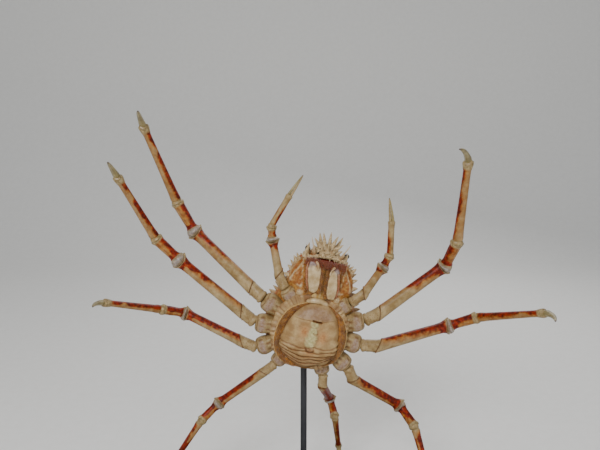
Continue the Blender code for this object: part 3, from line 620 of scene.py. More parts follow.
def carpusShell(name, start, end, side, sizes, reach):
    length, shaft, knee = sizes["carpus"]
    rows = segmentRows(
        length,
        (shaft, [(0, 0.001, 0.55), (0, 0.003, 0.92, 0, -0.004), (0, 0.0055, 1.06, 0.34, -0.003),
                 (0, 0.009, 1.04, 0.08, -0.001), (0, 0.014, 0.95), (0.34, 0, 0.96),
                 (0.62, 0, 1.02), (0.8, 0, 1.03), (1, -0.011, 1.04)]),
        (knee, [(1, -0.0075, 0.93, 0.04), (1, -0.004, 0.97, 0.16, 0.002), (1, -0.001, 0.94, 0.16, 0.003),
                (1, -0.0005, 0.86, 0, 0.003), (1, -0.003, 0.62, 0, 0.001), (1, -0.006, 0.05)]))
    collar = collarMarks(length, 0.003, 0.006)

    def marks(share, along, angle, up):
        found = collar(share, along, angle, up)
        found["orangeWash"] = (0.62 + 0.22 * math.sin(angle * 0.14)) * (1 - found["clear"])
        return found
    return limbSegment(name, start, end, side, rows, reach, marks=marks)


def propodusShell(name, start, end, side, sizes, reach):
    length, shaft, slim = sizes["propodus"]
    rows = segmentRows(
        length,
        (shaft, [(0, 0.001, 0.6), (0, 0.003, 0.96, 0, -0.001), (0, 0.006, 1.12, 0.1, -0.001),
                 (0, 0.012, 1.12), (0.14, 0, 1.02)]),
        ((shaft + slim) / 2, [(0.45, 0, 1)]),
        (slim, [(0.82, 0, 1), (0.9, 0, 1.02), (1, -0.018, 1.1), (1, -0.01, 1.32),
                (1, -0.005, 1.36, 0.14, 0.001), (1, -0.001, 1.3, 0.18, 0.003), (1, -0.0015, 1.05, 0, 0.003),
                (1, -0.004, 0.05)]))
    collar = collarMarks(length, 0.0035, 0.012, 0.0, 0.44)
    return limbSegment(name, start, end, side, rows, reach, marks=collar)


def dactylShell(name, start, end, side, sizes, before):
    thick = sizes["dactyl"][1]
    length = (end - start).length
    rows = segmentRows(
        length,
        (thick, [(0, -0.003, 0.8), (0, 0.001, 1.12), (0, 0.006, 1.2, 0.1),
                 (0, 0.012, 1.06), (0.35, 0, 0.88), (0.65, 0, 0.64),
                 (0.86, 0, 0.4), (0.95, 0, 0.24)]),
        (thick * 0.06 + 0.0004, [(1, -0.0004, 1)]))

    def marks(share, along, angle, up):
        return {"brown": ease(0.86, 0.99, share)}
    bow = squared(before, (end - start).normalized()) * 0.07 * length
    return limbSegment(name, start, end, side, rows, None, bow, marks)


def jointSkin(name, joint, wayIn, wayOut, half, blue):
    # milky folded skin that bulges between two segments
    inner = squared(viewer, wayIn)

    def pointAt(t, turn):
        way = wayIn.lerp(wayOut, t).normalized()
        centre = joint + wayIn * (-0.66 * half * (1 - t) ** 1.2) + wayOut * (0.6 * half * t ** 1.2)
        centre += inner * 0.0016 * math.sin(math.pi * t)
        fold = 1 + 0.03 * math.cos(5 * math.pi * t)
        radius = half * fold * (0.22 + 0.78 * math.sin(math.pi * min(0.94, max(0.06, t))) ** 0.5)
        up = squared(inner, way)
        # bluish where it bulges towards the belly side
        bluish = blue * math.sin(math.pi * t) * max(0.0, math.sin(turn)) ** 0.5
        return (centre + up.cross(way) * radius * math.cos(turn) + up * radius * 0.96 * math.sin(turn),
                {"lilac": bluish})
    return rolledShell(name, *plotted([step / 12 for step in range(13)], turns(20), pointAt))


def chelaShells(name, limb, sizes, side, reach):
    # the palm with its fixed finger, and the movable finger with blunt teeth
    length, shaft, slim = sizes["propodus"]
    finger = sizes["dactyl"][1]
    wrist, end, tip = limb[4], limb[5], limb[6]
    way = (end - wrist).normalized()
    apart = squared(viewer, way).cross(way) * side
    rows = segmentRows(
        length,
        (shaft, [(0, 0.001, 0.55), (0, 0.003, 0.88), (0, 0.006, 1.02, 0.1),
                 (0, 0.01, 1), (0.5, 0, 0.98)]),
        (slim, [(0.8, 0, 1.04), (0.92, 0, 1.16), (0.97, 0, 1.14, 0.22),
                (1, -0.0005, 0.98, 0.1), (1, 0.001, 0.6), (1, -0.001, 0.05)]))

    def palmMarks(share, along, angle, up):
        return {"palePatch": 0.7 * ease(0.86, 0.96, share) + 0.6 * (1 - ease(0.04, 0.1, share))}

    def fingerMarks(share, along, angle, up):
        return {"brown": ease(0.9, 1.0, share), "palePatch": 0.5}

    palm = limbSegment(name + "_palm", wrist, end, side, rows, reach, marks=palmMarks)
    teeth = [(0.2 + 0.09 * k, 0, (0.8 - 0.06 * k) * (1.0 if k % 2 else 1.12)) for k in range(7)]
    rows = segmentRows(
        (tip - end).length,
        (slim, [(0, -0.003, 0.4), (0, 0.001, 0.5)]),
        (finger, [(0.12, 0, 0.84), *teeth, (0.92, 0, 0.3), (1, -0.0006, 0.1)]))
    fixed, moving = [
        limbSegment(name + word, end + apart * edge * 0.46 * slim, tip + apart * edge * 0.1 * finger, side,
                    rows, None, apart * bow, fingerMarks)
        for word, edge, bow in (("_fixed_finger", 1, 0.0004), ("_dactyl", -1, -0.0006))]
    return joined(name + "_propodus", [palm, fixed]), moving


print("legs")
for legName in pose:
    sizes, side, limb = limbPlaces(legName)
    ways = [(b - a).normalized() for a, b in zip(limb, limb[1:])]
    clawed = legName.startswith("claw")
    red = redShare[legName]
    # the seam after the ischium leans out towards the head
    edgeWay = squared(viewer, ways[0]).cross(ways[0]) * side
    seam = ((ways[0] + ways[1]).normalized() - 0.32 * edgeWay).normalized()
    coxa = coxaShell(legName + "_coxa", limb[0], limb[1], side, sizes["coxa"])
    ischium = ischiumShell(legName + "_ischium", limb[1], limb[2], side, sizes["ischium"][1], seam)
    foot = limb[4], limb[5], side, sizes, red["propodus"]
    made = {"hip": joined(legName + "_hip", [coxa, ischium])}
    made["merus"] = merusShell(legName + "_merus", limb[2], limb[3], side, sizes, red["merus"], seam)
    made["carpus"] = carpusShell(legName + "_carpus", limb[3], limb[4], side, sizes, red["carpus"])
    if clawed:
        made["propodus"], dactyl = chelaShells(legName, limb, sizes, side, red["propodus"])
    else:
        made["propodus"] = propodusShell(legName + "_propodus", *foot)
        dactyl = dactylShell(legName + "_dactyl", limb[5], limb[6], side, sizes, ways[4])
    for word, piece in made.items():
        settle(piece, "calcified_leg_shell", [f"{legName}_{word}"])
    settle(dactyl, "horny_toe_shell", [legName + "_dactyl"])
    # a joint's number on the limb, the segment before it, the skin's swelling and blueness
    joints = [("knee", 3, "merus", 1.1, 0.75), ("wrist", 4, "carpus", 0.92, 0.1),
              ("toe", 5, "propodus", 1.12, 0.0)]
    skins = [jointSkin(f"{legName}_{word}_skin", limb[number], ways[number - 1], ways[number],
                       sizes[segment][2] * swell, blue)
             for word, number, segment, swell, blue in (joints[:2] if clawed else joints)]
    settle(joined(legName + "_joint_skin", skins), "joint_skin")


def arrayed(name, master, copies, angle=60, unwrap=None):
    # many small copies of one modelled form, as one mesh. A copy is its matrix
    # and its marks; unwrap gives each a small patch of its own on a flat map
    count = len(master.data.vertices)
    flat = np.empty(count * 3)
    master.data.vertices.foreach_get("co", flat)
    form = np.c_[flat.reshape(-1, 3), np.ones(count)]
    faces = [tuple(face.vertices) for face in master.data.polygons]
    points, polygons = [], []
    for number, (matrix, _) in enumerate(copies):
        points.append(form @ np.array(matrix).T[:, :3])
        polygons += [tuple(v + number * count for v in face) for face in faces]
    mesh = bpy.data.meshes.new(name)
    mesh.from_pydata(np.concatenate(points).tolist(), [], polygons)
    height = form[:, 2] / form[:, 2].max()
    for word in sorted({word for _, marks in copies for word in marks}):
        ends = [marks.get(word, (0.0, 0.0)) for _, marks in copies]
        values = np.concatenate([low + (high - low) * height for low, high in ends])
        layer = mesh.attributes.new(word, "FLOAT", "POINT")
        layer.data.foreach_set("value", values.astype(np.float32))
    if unwrap:
        sheet = mesh.uv_layers.new(name="OFBake")
        corner = np.empty(len(mesh.loops), dtype=np.int32)
        mesh.loops.foreach_get("vertex_index", corner)
        spots = np.array(unwrap)[corner // count]
        patch = np.c_[form[:, 0] - form[:, 0].min(), form[:, 2]]
        patch = 0.003 * patch / patch.max(axis=0)
        sheet.data.foreach_set("uv", (spots + patch[corner % count]).ravel())
    piece = bpy.data.objects.new(name, mesh)
    bpy.context.scene.collection.objects.link(piece)
    bpy.ops.object.select_all(action="DESELECT")
    piece.select_set(True)
    bpy.context.view_layer.objects.active = piece
    bpy.ops.object.shade_smooth_by_angle(angle=math.radians(angle))
    return piece


def modelledOnce(name, levels, sides):
    # a small tapering form: a cone's foot pulled up ring by ring, each (height, radius, sway)
    bpy.ops.object.select_all(action="DESELECT")
    bpy.ops.mesh.primitive_circle_add(vertices=sides, radius=levels[0][1], fill_type="NGON")
    piece = bpy.context.object
    piece.name = name
    bpy.ops.object.mode_set(mode="EDIT")
    bpy.ops.mesh.select_all(action="SELECT")
    for (low, before, sway), (high, after, nextSway) in zip(levels, levels[1:]):
        bpy.ops.mesh.extrude_region_move(TRANSFORM_OT_translate={"value": (nextSway - sway, 0, high - low)})
        share = after / before
        bpy.ops.transform.resize(value=(share, share, 1), center_override=(nextSway, 0, high))
    bpy.ops.mesh.select_all(action="SELECT")
    bpy.ops.mesh.normals_make_consistent(inside=False)
    bpy.ops.object.mode_set(mode="OBJECT")
    return piece


def standingOn(root, tip, radius, roll=0.0, side=1):
    # where a form of height 1 and radius 1 goes, from root to tip on the body
    root, tip = bodyPoint(root, side), bodyPoint(tip, side)
    way = tip - root
    turn = way.to_track_quat("Z", "Y").to_matrix().to_4x4()
    return (Matrix.Translation(root) @ turn @ Matrix.Rotation(roll, 4, "Z")
            @ Matrix.Diagonal((radius, radius, way.length, 1)))


spineForm = modelledOnce("spine_form", [
    (0.0, 1.8, 0.0), (0.08, 1.35, 0.01), (0.22, 1.08, 0.03), (0.5, 0.78, 0.06), (0.78, 0.46, 0.05),
    (0.94, 0.2, 0.01), (1.0, 0.04, 0.0)], 9)
knobForm = modelledOnce("knob_form", [
    (-0.3, 1.9, 0.0), (0.0, 1.55, 0.0), (0.25, 1.08, 0.02), (0.6, 0.8, 0.04), (0.86, 0.5, 0.05),
    (1.0, 0.14, 0.06)], 8)
bristleForm = modelledOnce("bristle_form", [(0.0, 1.0, 0.0), (0.45, 0.8, 0.5), (1.0, 0.1, 2.2)], 3)

carapace = {
    # rear to front, in millimetres: along, half width, back, belly
    "stations": fromMm([
        (-80, 24, 52, 12), (-74, 46, 64, -4), (-58, 69, 78, -14),
        (-34, 86, 89, -18), (-4, 95, 95, -18), (28, 93, 94, -18),
        (56, 83, 87, -18), (80, 73, 78, -20), (104, 68, 70, -21),
        (128, 60, 61, -18), (146, 48, 51, -10), (158, 31, 41, 0),
        (167, 17, 33, 8),
    ]),
    "widestShare": 0.38,
    "powers": (0.9, 0.92, 0.62),  # how full: sides, back, belly
    "rows": 52,
    "columns": 72,
    # swellings of the back, in millimetres: across, along, reach across, reach along, height
    "regions": fromMm([
        (0, 88, 26, 30, 5.5), (0, 118, 14, 14, 3), (0, 18, 22, 20, 6),
        (0, -34, 20, 16, 4), (50, 20, 28, 34, 4.5), (46, -28, 26, 22, 3),
        (50, 94, 16, 18, 3.5), (0, 52, 60, 7, -3), (24, 24, 6, 34, -3),
        (0, -6, 30, 5, -2),
    ]),
    "knobs": 520,
    "knobHeight": (0.0022, 0.0062),
    "seed": 7,
}


def shellPlace(share, turn):
    # share runs from the rear to the front, turn round the section: 90 degrees is the back
    along, half, back, belly = stationAt(carapace["stations"], share * (len(carapace["stations"]) - 1))
    middle = belly + carapace["widestShare"] * (back - belly)
    side, top, under = carapace["powers"]
    rise, power = (back - middle, top) if math.sin(turn) > 0 else (middle - belly, under)
    across = half * fullRound(math.cos(turn), side)
    away = middle + rise * fullRound(math.sin(turn), power)
    if math.sin(turn) > 0:
        for x, z, reachX, reachZ, height in carapace["regions"]:
            near = hump(x, reachX, abs(across)) * hump(z, reachZ, along)
            away += height * near * math.sin(turn)
    return Vector((across, away, along))


def shellWay(share, turn):
    step = 0.004
    here = shellPlace(share, turn)
    along = shellPlace(min(1.0, share + step), turn) - shellPlace(max(0.0, share - step), turn)
    around = shellPlace(share, turn + step * 4) - shellPlace(share, turn - step * 4)
    return here, around.cross(along).normalized()


# Ridges of the underside of the front: the mouth's frame and the cheek plates
cheek = {
    "ridges": [
        # points (across, along), half width, height, paleness
        ([(0.044, 0.15), (0.042, 0.132), (0.04, 0.112), (0.037, 0.094)], 0.0026, 0.0046, 0.75),
        ([(0.036, 0.096), (0.048, 0.096), (0.062, 0.1)], 0.0024, 0.004, 0.85),
        ([(0.045, 0.136), (0.053, 0.122), (0.061, 0.104)], 0.0022, 0.0036, 0.85),
        ([(0.045, 0.104), (0.05, 0.11), (0.05, 0.118)], 0.0018, 0.0022, 0.6),
        ([(0.053, 0.139), (0.06, 0.124), (0.067, 0.106)], 0.0026, 0.003, 0.65),
    ],
    "knob": ((0.0375, 0.081), 0.008, 0.0105),
}


def nearestOn(points, across, along):
    best = 1.0
    for (x0, z0), (x1, z1) in zip(points, points[1:]):
        dx, dz = x1 - x0, z1 - z0
        t = min(1.0, max(0.0, ((across - x0) * dx + (along - z0) * dz) / (dx * dx + dz * dz)))
        best = min(best, math.hypot(across - x0 - t * dx, along - z0 - t * dz))
    return best


def shellCell(share, turn):
    place, out = shellWay(share, turn)
    across, along = abs(place.x), place.z
    lift = 0.0007 * noise.noise(place * 90) + 0.0005 * noise.noise(place * 240)
    under = max(0.0, -out.y)
    belly = ease(0.1, 0.4, under)
    pale = 0.8 * ease(0.157, 0.162, along) * ease(-0.2, 0.3, -out.y)
    dent = 0.0
    if under > 0.1 and along > 0.06:
        for points, width, height, paleness in cheek["ridges"]:
            near = nearestOn(points, across, along)
            lift += height * hump(0, width, near) * belly
            pale = max(pale, paleness * hump(0, width * 0.8, near) * belly)
            dent = max(dent, 0.42 * hump(width * 2.0, width * 1.1, near) * belly)
        (x, z), width, height = cheek["knob"]
        knob = hump(0, width, math.hypot(across - x, along - z))
        lift = lift + height * knob + 0.001 * noise.noise(place * 130)
        pale = max(pale, 0.95 * knob)
    front = ease(0.07, 0.1, along)
    redness = hump(0.149, 0.01, along) * hump(0, 0.04, across)
    return bodyPoint(place + out * lift), {
        "underside": max(ease(-0.25, 0.45, -out.y), 0.85 * front * ease(-0.75, -0.1, -out.y)),
        "mouthRed": min(1.0, max(redness, dent)) * ease(0.1, 0.5, under),
        "palePatch": max(pale, 0.4 * front * hump(0.066, 0.01, across) * ease(-0.3, 0.2, -out.y)),
    }


print("carapace")
shares = [row / carapace["rows"] for row in range(carapace["rows"] + 1)]
shell = rolledShell("carapace_shell", *plotted(shares, turns(carapace["columns"]), shellCell))

# Spines in millimetres: root, tip and root radius
spines = fromMm({
    # those on both sides
    "paired": [
        ((10, 16, 158), (24, 10, 203), 4.2), ((54, 10, 130), (65, 4, 147), 4.5),
        ((60, 6, 116), (73, 0, 126), 3.8), ((62, 4, 102), (77, -2, 109), 4.4),
        ((74, 20, 72), (90, 14, 82), 4), ((82, 32, 50), (98, 28, 58), 4.4),
        ((89, 36, 24), (106, 34, 30), 4.4), ((90, 38, -6), (106, 37, -10), 4.4),
        ((83, 40, -34), (97, 40, -44), 4), ((70, 44, -56), (81, 46, -68), 3.4),
        ((30, 26, 146), (44, 26, 170), 3.6), ((57, 16, 122), (70, 16, 134), 3),
        ((65, 12, 88), (80, 8, 94), 3.4), ((79, 26, 62), (92, 22, 70), 3),
        ((87, 30, 38), (101, 26, 45), 3.2), ((91, 34, 10), (105, 31, 12), 3.2),
        ((48, 40, 128), (58, 52, 142), 3.4), ((36, 46, 138), (42, 60, 152), 3),
    ],
    # the pale crowd of spines at the front, as they stand in the photograph
    "front": [
        ((-42, 4, 152), (-41, -6, 182), 4), ((-18, 4, 176), (-33, -2, 193), 3.2),
        ((-8, 2, 176), (-18, -6, 208), 3.6), ((5, 2, 178), (13, -2, 206), 3.6),
        ((-20, 0, 168), (-31, -4, 178), 3), ((14, 2, 176), (27, -2, 191), 3.4),
        ((18, 0, 170), (28, -4, 178), 3), ((37, 4, 152), (40, -6, 175), 3.8),
        ((-2, -2, 170), (-3, -14, 190), 3.2), ((10, -2, 168), (13, -14, 183), 2.8),
        ((-12, -2, 168), (-16, -14, 184), 2.8), ((1, 8, 176), (-2, 6, 210), 3.4),
        ((-26, 2, 162), (-36, -4, 170), 2.4), ((26, 2, 162), (36, -4, 170), 2.4),
        ((-50, 6, 140), (-57, 0, 152), 2.8), ((50, 6, 140), (58, 0, 152), 2.8),
    ],
})
copies = [(standingOn(root, tip, 1.35 * radius, side=side),
           {"palePatch": (0.45, 1.0), "underside": (0.6, 0.6)})
          for root, tip, radius in spines["paired"] for side in (1, -1)]
copies += [(standingOn(root, tip, 1.2 * radius), {"palePatch": (0.75, 1.0), "mouthRed": (0.35, 0.0)})
           for root, tip, radius in spines["front"]]
spikes = arrayed("carapace_spikes", spineForm, copies)
draw = random.Random(carapace["seed"])
golden = (math.sqrt(5) - 1) / 2
copies = []
for number in range(carapace["knobs"]):
    share = 0.04 + 0.9 * (number + 0.5) / carapace["knobs"]
    turn = math.pi * (0.06 + 0.88 * ((number * golden) % 1))
    place, out = shellWay(share, turn)
    low, high = carapace["knobHeight"]
    height = low + (high - low) * draw.random() ** 2
    tip = place + (out + Vector((0, 0, 0.25))).normalized() * height
    copies.append((standingOn(place - out * 0.0006, tip, 0.0007 + height * 0.36), {"palePatch": (0.0, 0.95)}))
knobs = arrayed("carapace_knobs", knobForm, copies)

# The snout under the front spines, and the rugged pale rim before the mouth
snout = {
    "middle": (0, 0.007, 0.168), "halves": (0.02, 0.011, 0.013), "rows": 20, "columns": 36, "spikes": 34,
}
rim = {
    "half": 0.044, "radius": 0.0046, "arch": 0.011, "away": -0.004, "along": 0.151, "tilt": 0.003,
    "rows": 48, "columns": 16, "knobs": 46,
}


def snoutPlace(way, swell):
    return Vector([m + h * w * swell for m, h, w in zip(snout["middle"], snout["halves"], way)])


def roundAbout(tilt, turn):
    return Vector((math.sin(tilt) * math.cos(turn), math.sin(tilt) * math.sin(turn), -math.cos(tilt)))


def snoutCell(tilt, turn):
    way = roundAbout(tilt, turn)
    lump = noise.noise(way * 4.5)
    return (bodyPoint(snoutPlace(way, 1 + 0.24 * lump)),
            {"palePatch": 0.62 + 0.9 * lump, "mouthRed": 0.62 - 1.1 * lump})


def rimPlace(share, rise=0.0):
    arch = rim["arch"] * (1 - share * share)
    along = rim["along"] + arch + rim["tilt"] * share + rise
    return Vector((rim["half"] * share, rim["away"] - 0.55 * arch, along))


def rimCell(share, turn):
    rough = uneven(share * 7, 3, 1)
    slope = Vector((1, 0, -2 * rim["arch"] / rim["half"] * share)).normalized()
    away = Vector((0, 1, 0))
    swell = rim["radius"] * (0.35 + 0.65 * (1 - share ** 6)) * (1 + 0.55 * rough)
    lump = 1 + 0.35 * uneven(share * 16, math.cos(turn) * 2, math.sin(turn) * 2)
    pale = 0.95 * lump - 0.15
    return (bodyPoint(rimPlace(share, 0.0014 * rough) + away.cross(slope) * swell * lump * math.cos(turn)
                      + away * swell * 1.2 * lump * math.sin(turn)),
            {"palePatch": pale, "mouthRed": 0.9 - pale})


tilts = [math.pi * (0.03 + 0.94 * row / snout["rows"]) for row in range(snout["rows"] + 1)]
snoutShell = rolledShell("snout", *plotted(tilts, turns(snout["columns"]), snoutCell))
rimShell = rolledShell("mouth_rim", *plotted(acrossShares(rim["rows"]), turns(rim["columns"]), rimCell))
copies = []
for number in range(rim["knobs"]):
    share = -0.96 + 1.92 * (number + 0.5) / rim["knobs"]
    aim = math.radians(draw.uniform(-60, 110))
    way = Vector((0.5 * share + draw.uniform(-0.3, 0.3), -math.cos(aim), math.sin(aim))).normalized()
    root = rimPlace(share) + way * 0.0024
    tip = root + way * draw.uniform(0.003, 0.008)
    copies.append((standingOn(root, tip, draw.uniform(0.0013, 0.0021)),
                   {"palePatch": (0.6, 1.0), "mouthRed": (0.45, 0.0)}))
for number in range(snout["spikes"]):
    level, turn = math.pi * draw.uniform(0.25, 0.97), 2 * math.pi * draw.random()
    way = roundAbout(level, turn)
    root = snoutPlace(way, 0.92)
    tip = root + (way + Vector((0, 0, 0.5))) * draw.uniform(0.003, 0.006)
    copies.append((standingOn(root, tip, draw.uniform(0.0015, 0.0026)),
                   {"palePatch": (0.35, 1.0), "mouthRed": (0.6, 0.0)}))
rimSpikes = arrayed("rim_spikes", spineForm, copies)
settle(joined("carapace", [shell, spikes, knobs, snoutShell, rimShell, rimSpikes]),
       "calcified_back_shell", ["carapace"])

print("breastplate and apron")
# The apron's edge and the bristle fringe round it: degrees, then reach or width in millimetres
outline = {
    "apron": [
        (0, 60), (22, 60), (48, 66), (70, 71), (90, 68), (106, 63), (123, 57), (142, 52),
        (165, 51), (180, 52), (196, 56), (210, 63), (222, 67), (248, 68), (262, 72), (272, 73),
        (284, 69), (294, 69), (304, 73), (313, 74), (325, 71), (338, 66), (350, 62),
    ],
    "fringe": [
        (0, 16.5), (20, 16), (40, 11.5), (55, 5.5), (70, 2), (95, 1.5), (108, 4.5), (123, 10),
        (142, 15.5), (180, 15), (196, 15), (213, 11.5), (240, 11.5), (252, 8), (262, 1.5),
        (300, 1), (312, 3), (325, 8), (338, 12), (350, 15.5),
    ],
}
outline = {kind: [(degrees, reach / 1000) for degrees, reach in table] for kind, table in outline.items()}


def outlineAt(kind, turn):
    return float(np.interp(math.degrees(turn) % 360, *zip(*outline[kind]), period=360))


# The breastplate shows as a ring between the apron and the legs
breast = {
    "half": (0.0735, 0.0775), "middle": 0.003, "front": -0.024, "back": -0.008, "ribs": 0.0018,
    "columns": 200,
    # share of the reach, share of the way from back to front
    "profile": [(0.05, 0), (0.94, 0), (1.0, 0.15), (1.04, 0.35), (1.06, 0.6), (1.05, 0.8), (1.01, 0.92),
                (0.97, 1.0), (0.93, 1.04), (0.89, 1.05), (0.84, 1.04), (0.78, 1.0), (0.05, 0.98)],
}
legTurns = [math.atan2(sizes["coxaRoot"][2] - breast["middle"], side * sizes["coxaRoot"][0])
            for sizes in legs.values() for side in (1, -1)]


def breastCell(row, turn):
    share, away = row
    near = min(abs((turn - t + math.pi) % (2 * math.pi) - math.pi) for t in legTurns)
    lobe = hump(0, 0.2, near)
    outer = ease(0.74, 0.88, share)
    fold = math.cos(near * 48) * ease(0.34, 0.1, near) * outer
    reach = share * (1 + (0.055 * lobe - 0.02) * outer + 0.008 * fold)
    across = breast["half"][0] * fullRound(math.cos(turn), 0.92) * reach
    along = breast["middle"] + breast["half"][1] * fullRound(math.sin(turn), 0.92) * reach
    rise = breast["ribs"] * fold * ease(0.3, 0.7, away) + (0.0045 * lobe - 0.0015) * outer * away
    return (bodyPoint((across, breast["back"] + (breast["front"] - breast["back"]) * away - rise, along)),
            {"lilac": 0.3 * lobe * outer,
             # painted shade in the troughs of the folds and between the lobes
             "crease": max(0.55 * max(0.0, -fold), 0.75 * ease(0.25, 0.33, near)) * outer})


sternum = rolledShell("sternum", *plotted(breast["profile"], turns(breast["columns"]), breastCell), levels=0)
settle(sternum, "calcified_apron_shell", ["sternum"])

# The apron. Places on it are (across, along) from its middle
apron = {
    "inner": -0.0225,
    "dome": 0.0262,
    "columns": 216,
    "rows": 96,
    # lower edges of the puffed folds at the middle, their rise at the sides, their puff, in millimetres
    "folds": fromMm([(-20.5, 2, 2.4), (-30, 5, 4.8), (-40.5, 9, 6.2), (-49, 14, 6), (-56, 20, 5.2),
                     (-62, 27, 4.4)]),
    "slope": 0.07,  # the edges run up to the viewer's right
    "telson": {"along": 0.0365, "slope": 0.1, "curve": 0.003, "step": 0.0022},
    "slit": {"from": (0.000, 0.0365), "to": (0.0175, 0.0345), "half": 0.0017, "depth": 0.0055},
    "boss": [((0.004, 0.03), 0.008), ((0.0042, 0.016), 0.0085), ((0.0038, 0.002), 0.0115),
             ((0.0045, -0.01), 0.011), ((0.006, -0.02), 0.007)],
    "bossHeight": 0.003,
    "pits": [(0.006, 0.0125, 0.0013), (0.014, 0.0115, 0.0014)],
}


def apronHeight(across, along):
    def far(x, z, stretch=1.0):
        return math.hypot(across - x, (along - z) * stretch)

    level = min(1.0, math.hypot(across, along) / outlineAt("apron", math.atan2(along, across)))
    inside = ease(1.0, 0.88, level)
    height = apron["dome"] * (0.1 + 0.9 * (1 - level ** 3.0) ** 0.6)
    sideways = (across / 0.06) ** 2
    crease = puffed = 0.0
    upper = -0.004 + apron["slope"] * across
    for number, (edge, rise, puff) in enumerate(apron["folds"]):
        waver = 0.0042 * uneven(across * 38, number * 1.7, 0) + 0.001 * uneven(across * 110, number * 2.3, 4)
        line = edge + rise * sideways * (1.5 if across < 0 else 1.0) + apron["slope"] * across + waver
        t = (upper - along) / max(0.0015, upper - line)
        if 0 < t <= 1:
            puffed = math.sin(math.pi * (0.08 + 0.88 * t)) ** 0.8 - 0.45
            ragged = 1 + 0.5 * uneven(across * 45, number * 3.1, 2)
            height += puff * (puffed + 0.2) * (0.45 + 0.55 * inside) * ragged
            groove = 0.48 + 0.25 * uneven(across * 50, number, 9)
            height -= 0.001 * hump(groove, 0.08, t) * ease(0.0, 0.2, rise * 30)
        # painted shade along the crease under each fold
        crease = max(crease, (0.7 + 0.08 * number) * hump(line, 0.0014, along) * (0.4 + 0.6 * inside))
        upper = line
    telson = apron["telson"]
    line = telson["along"] + telson["slope"] * across + telson["curve"] * sideways
    line += 0.0012 * uneven(across * 60, 5, 5)
    height += telson["step"] * ease(line - 0.0012, line + 0.0012, along) * inside
    boss = 0.0
    for (x, z), reach in apron["boss"]:
        wobble = 1 + 0.3 * uneven(across, along, 6, 140)
        boss = max(boss, ease(1.35, 0.65, far(x, z) / reach * wobble))
    boss *= ease(line + 0.001, line - 0.001, along)
    hollow = far(0.006, -0.0225, 1.2)
    slit = apron["slit"]
    opening = hump(0, slit["half"], nearestOn([slit["from"], slit["to"]], across, along))
    height += apron["bossHeight"] * boss
    height -= 0.002 * hump(0, 0.005, hollow)
    height -= slit["depth"] * opening
    height += 0.0012 * uneven(across, along, 0, 42) + 0.0005 * uneven(across, along, 3, 170)
    # ring is painted shade in the hollow below the boss and in a V round its lower side
    ring = 0.85 * hump(0.0075, 0.0026, hollow) * ease(-0.017, -0.024, along) + 0.6 * hump(0, 0.0045, hollow)
    green = 0.62 * ease(-0.024, -0.012, along) + 0.15
    return height, puffed, {
        # painted shade: the fold creases, a line at the foot of the telson's step, and a wash that darkens
        # the lower left towards the bottom
        "crease": max(crease, 0.62 * hump(line - 0.0008, 0.0009, along) * inside,
                      (0.5 - 4 * across) * ease(-0.018, -0.055, along)),
        "lilac": 0.58 * ease(line - 0.002, line + 0.004, along) * ease(1.03, 0.85, level),
        "greenish": green * boss * (1 + 0.6 * uneven(across, along, 8, 120)),
        # brown: painted shade round the hollow and in the slit, and two dark dots
        "brown": max(ring, 1.3 * opening, *(hump(0, size, far(x, z)) for x, z, size in apron["pits"])),
        "rust": (0.8 * hump(0, 0.01, far(-0.012, 0.011, 0.8))
                 + 0.75 * hump(0, 0.01, far(0.026, 0.006, 0.7)) + 0.5 * hump(0, 0.012, far(0.006, -0.03))),
    }


def apronCell(row, turn):
    share, front = row
    reach = outlineAt("apron", turn) * share
    across, along = reach * math.cos(turn), reach * math.sin(turn)
    height, puffed, found = apronHeight(across, along)
    pucker = 1 + 0.085 * puffed * ease(0.75, 1.0, share)
    return (bodyPoint((across * pucker, apron["inner"] - height * front, along * pucker + 0.001)),
            {word: min(1.0, value) * front for word, value in found.items()})


levels = [(0.04, 0.0), (0.92, 0.0), (0.975, 0.04), (1.0, 0.5)]
levels += [(1 - (row / apron["rows"]) ** 1.15, 1.0) for row in range(1, apron["rows"])] + [(0.004, 1.0)]
abdomen = rolledShell("abdomen", *plotted(levels, turns(apron["columns"]), apronCell), levels=0)
settle(abdomen, "calcified_apron_shell", ["abdomen"])

# The white lip of the breastplate above the apron, and the thin yellow skin
# between the feet of the mouth plates
lip = {
    "half": 0.0235, "along": 0.072, "away": -0.029, "wide": 0.0054, "deep": 0.0054,
    "rows": 24, "columns": 14,
}
mouthSkin = {
    # in millimetres: along, half width
    "rows": fromMm([(76.5, 15), (80, 17), (85, 13), (90, 8.5), (95, 4.5), (98.5, 1)]),
    "away": -0.0235, "thick": 0.004, "columns": 24,
}


def lipCell(share, turn):
    centre = Vector((lip["half"] * share + 0.002, lip["away"] + 0.004 * share * share,
                     lip["along"] - 0.0075 * share * share + 0.002))
    swell = (1 - abs(share) ** 3.2) ** 0.6 + 0.06
    return bodyPoint(centre + Vector((0, 1, 0)) * lip["deep"] * swell * math.sin(turn)
                     + Vector((0.35 * share, 0, 1)) * lip["wide"] * swell * math.cos(turn)), {}


def mouthSkinCell(row, turn):
    along, half = row
    across = half * math.cos(turn)
    fold = math.cos(across * 900)
    rise = mouthSkin["thick"] * math.sin(turn) * (1.1 - abs(across) / half * 0.5)
    ridge = 0.0012 * fold if math.sin(turn) > 0.2 else 0.0
    # amber is the skin's yellow, deepened by painted shade in the troughs between the ridges and paled by a
    # painted highlight on their crests
    return bodyPoint((across + 0.002, mouthSkin["away"] - rise - ridge, along)), {"amber": 0.5 - 0.35 * fold}


lipShell = rolledShell("sternum_lip", *plotted(acrossShares(lip["rows"]), turns(lip["columns"]), lipCell))
settle(lipShell, "porcelain_mouth_shell")
skinShell = rolledShell("mouth_skin", *plotted(mouthSkin["rows"], turns(mouthSkin["columns"]), mouthSkinCell))
settle(skinShell, "porcelain_mouth_shell")

print("bristles")
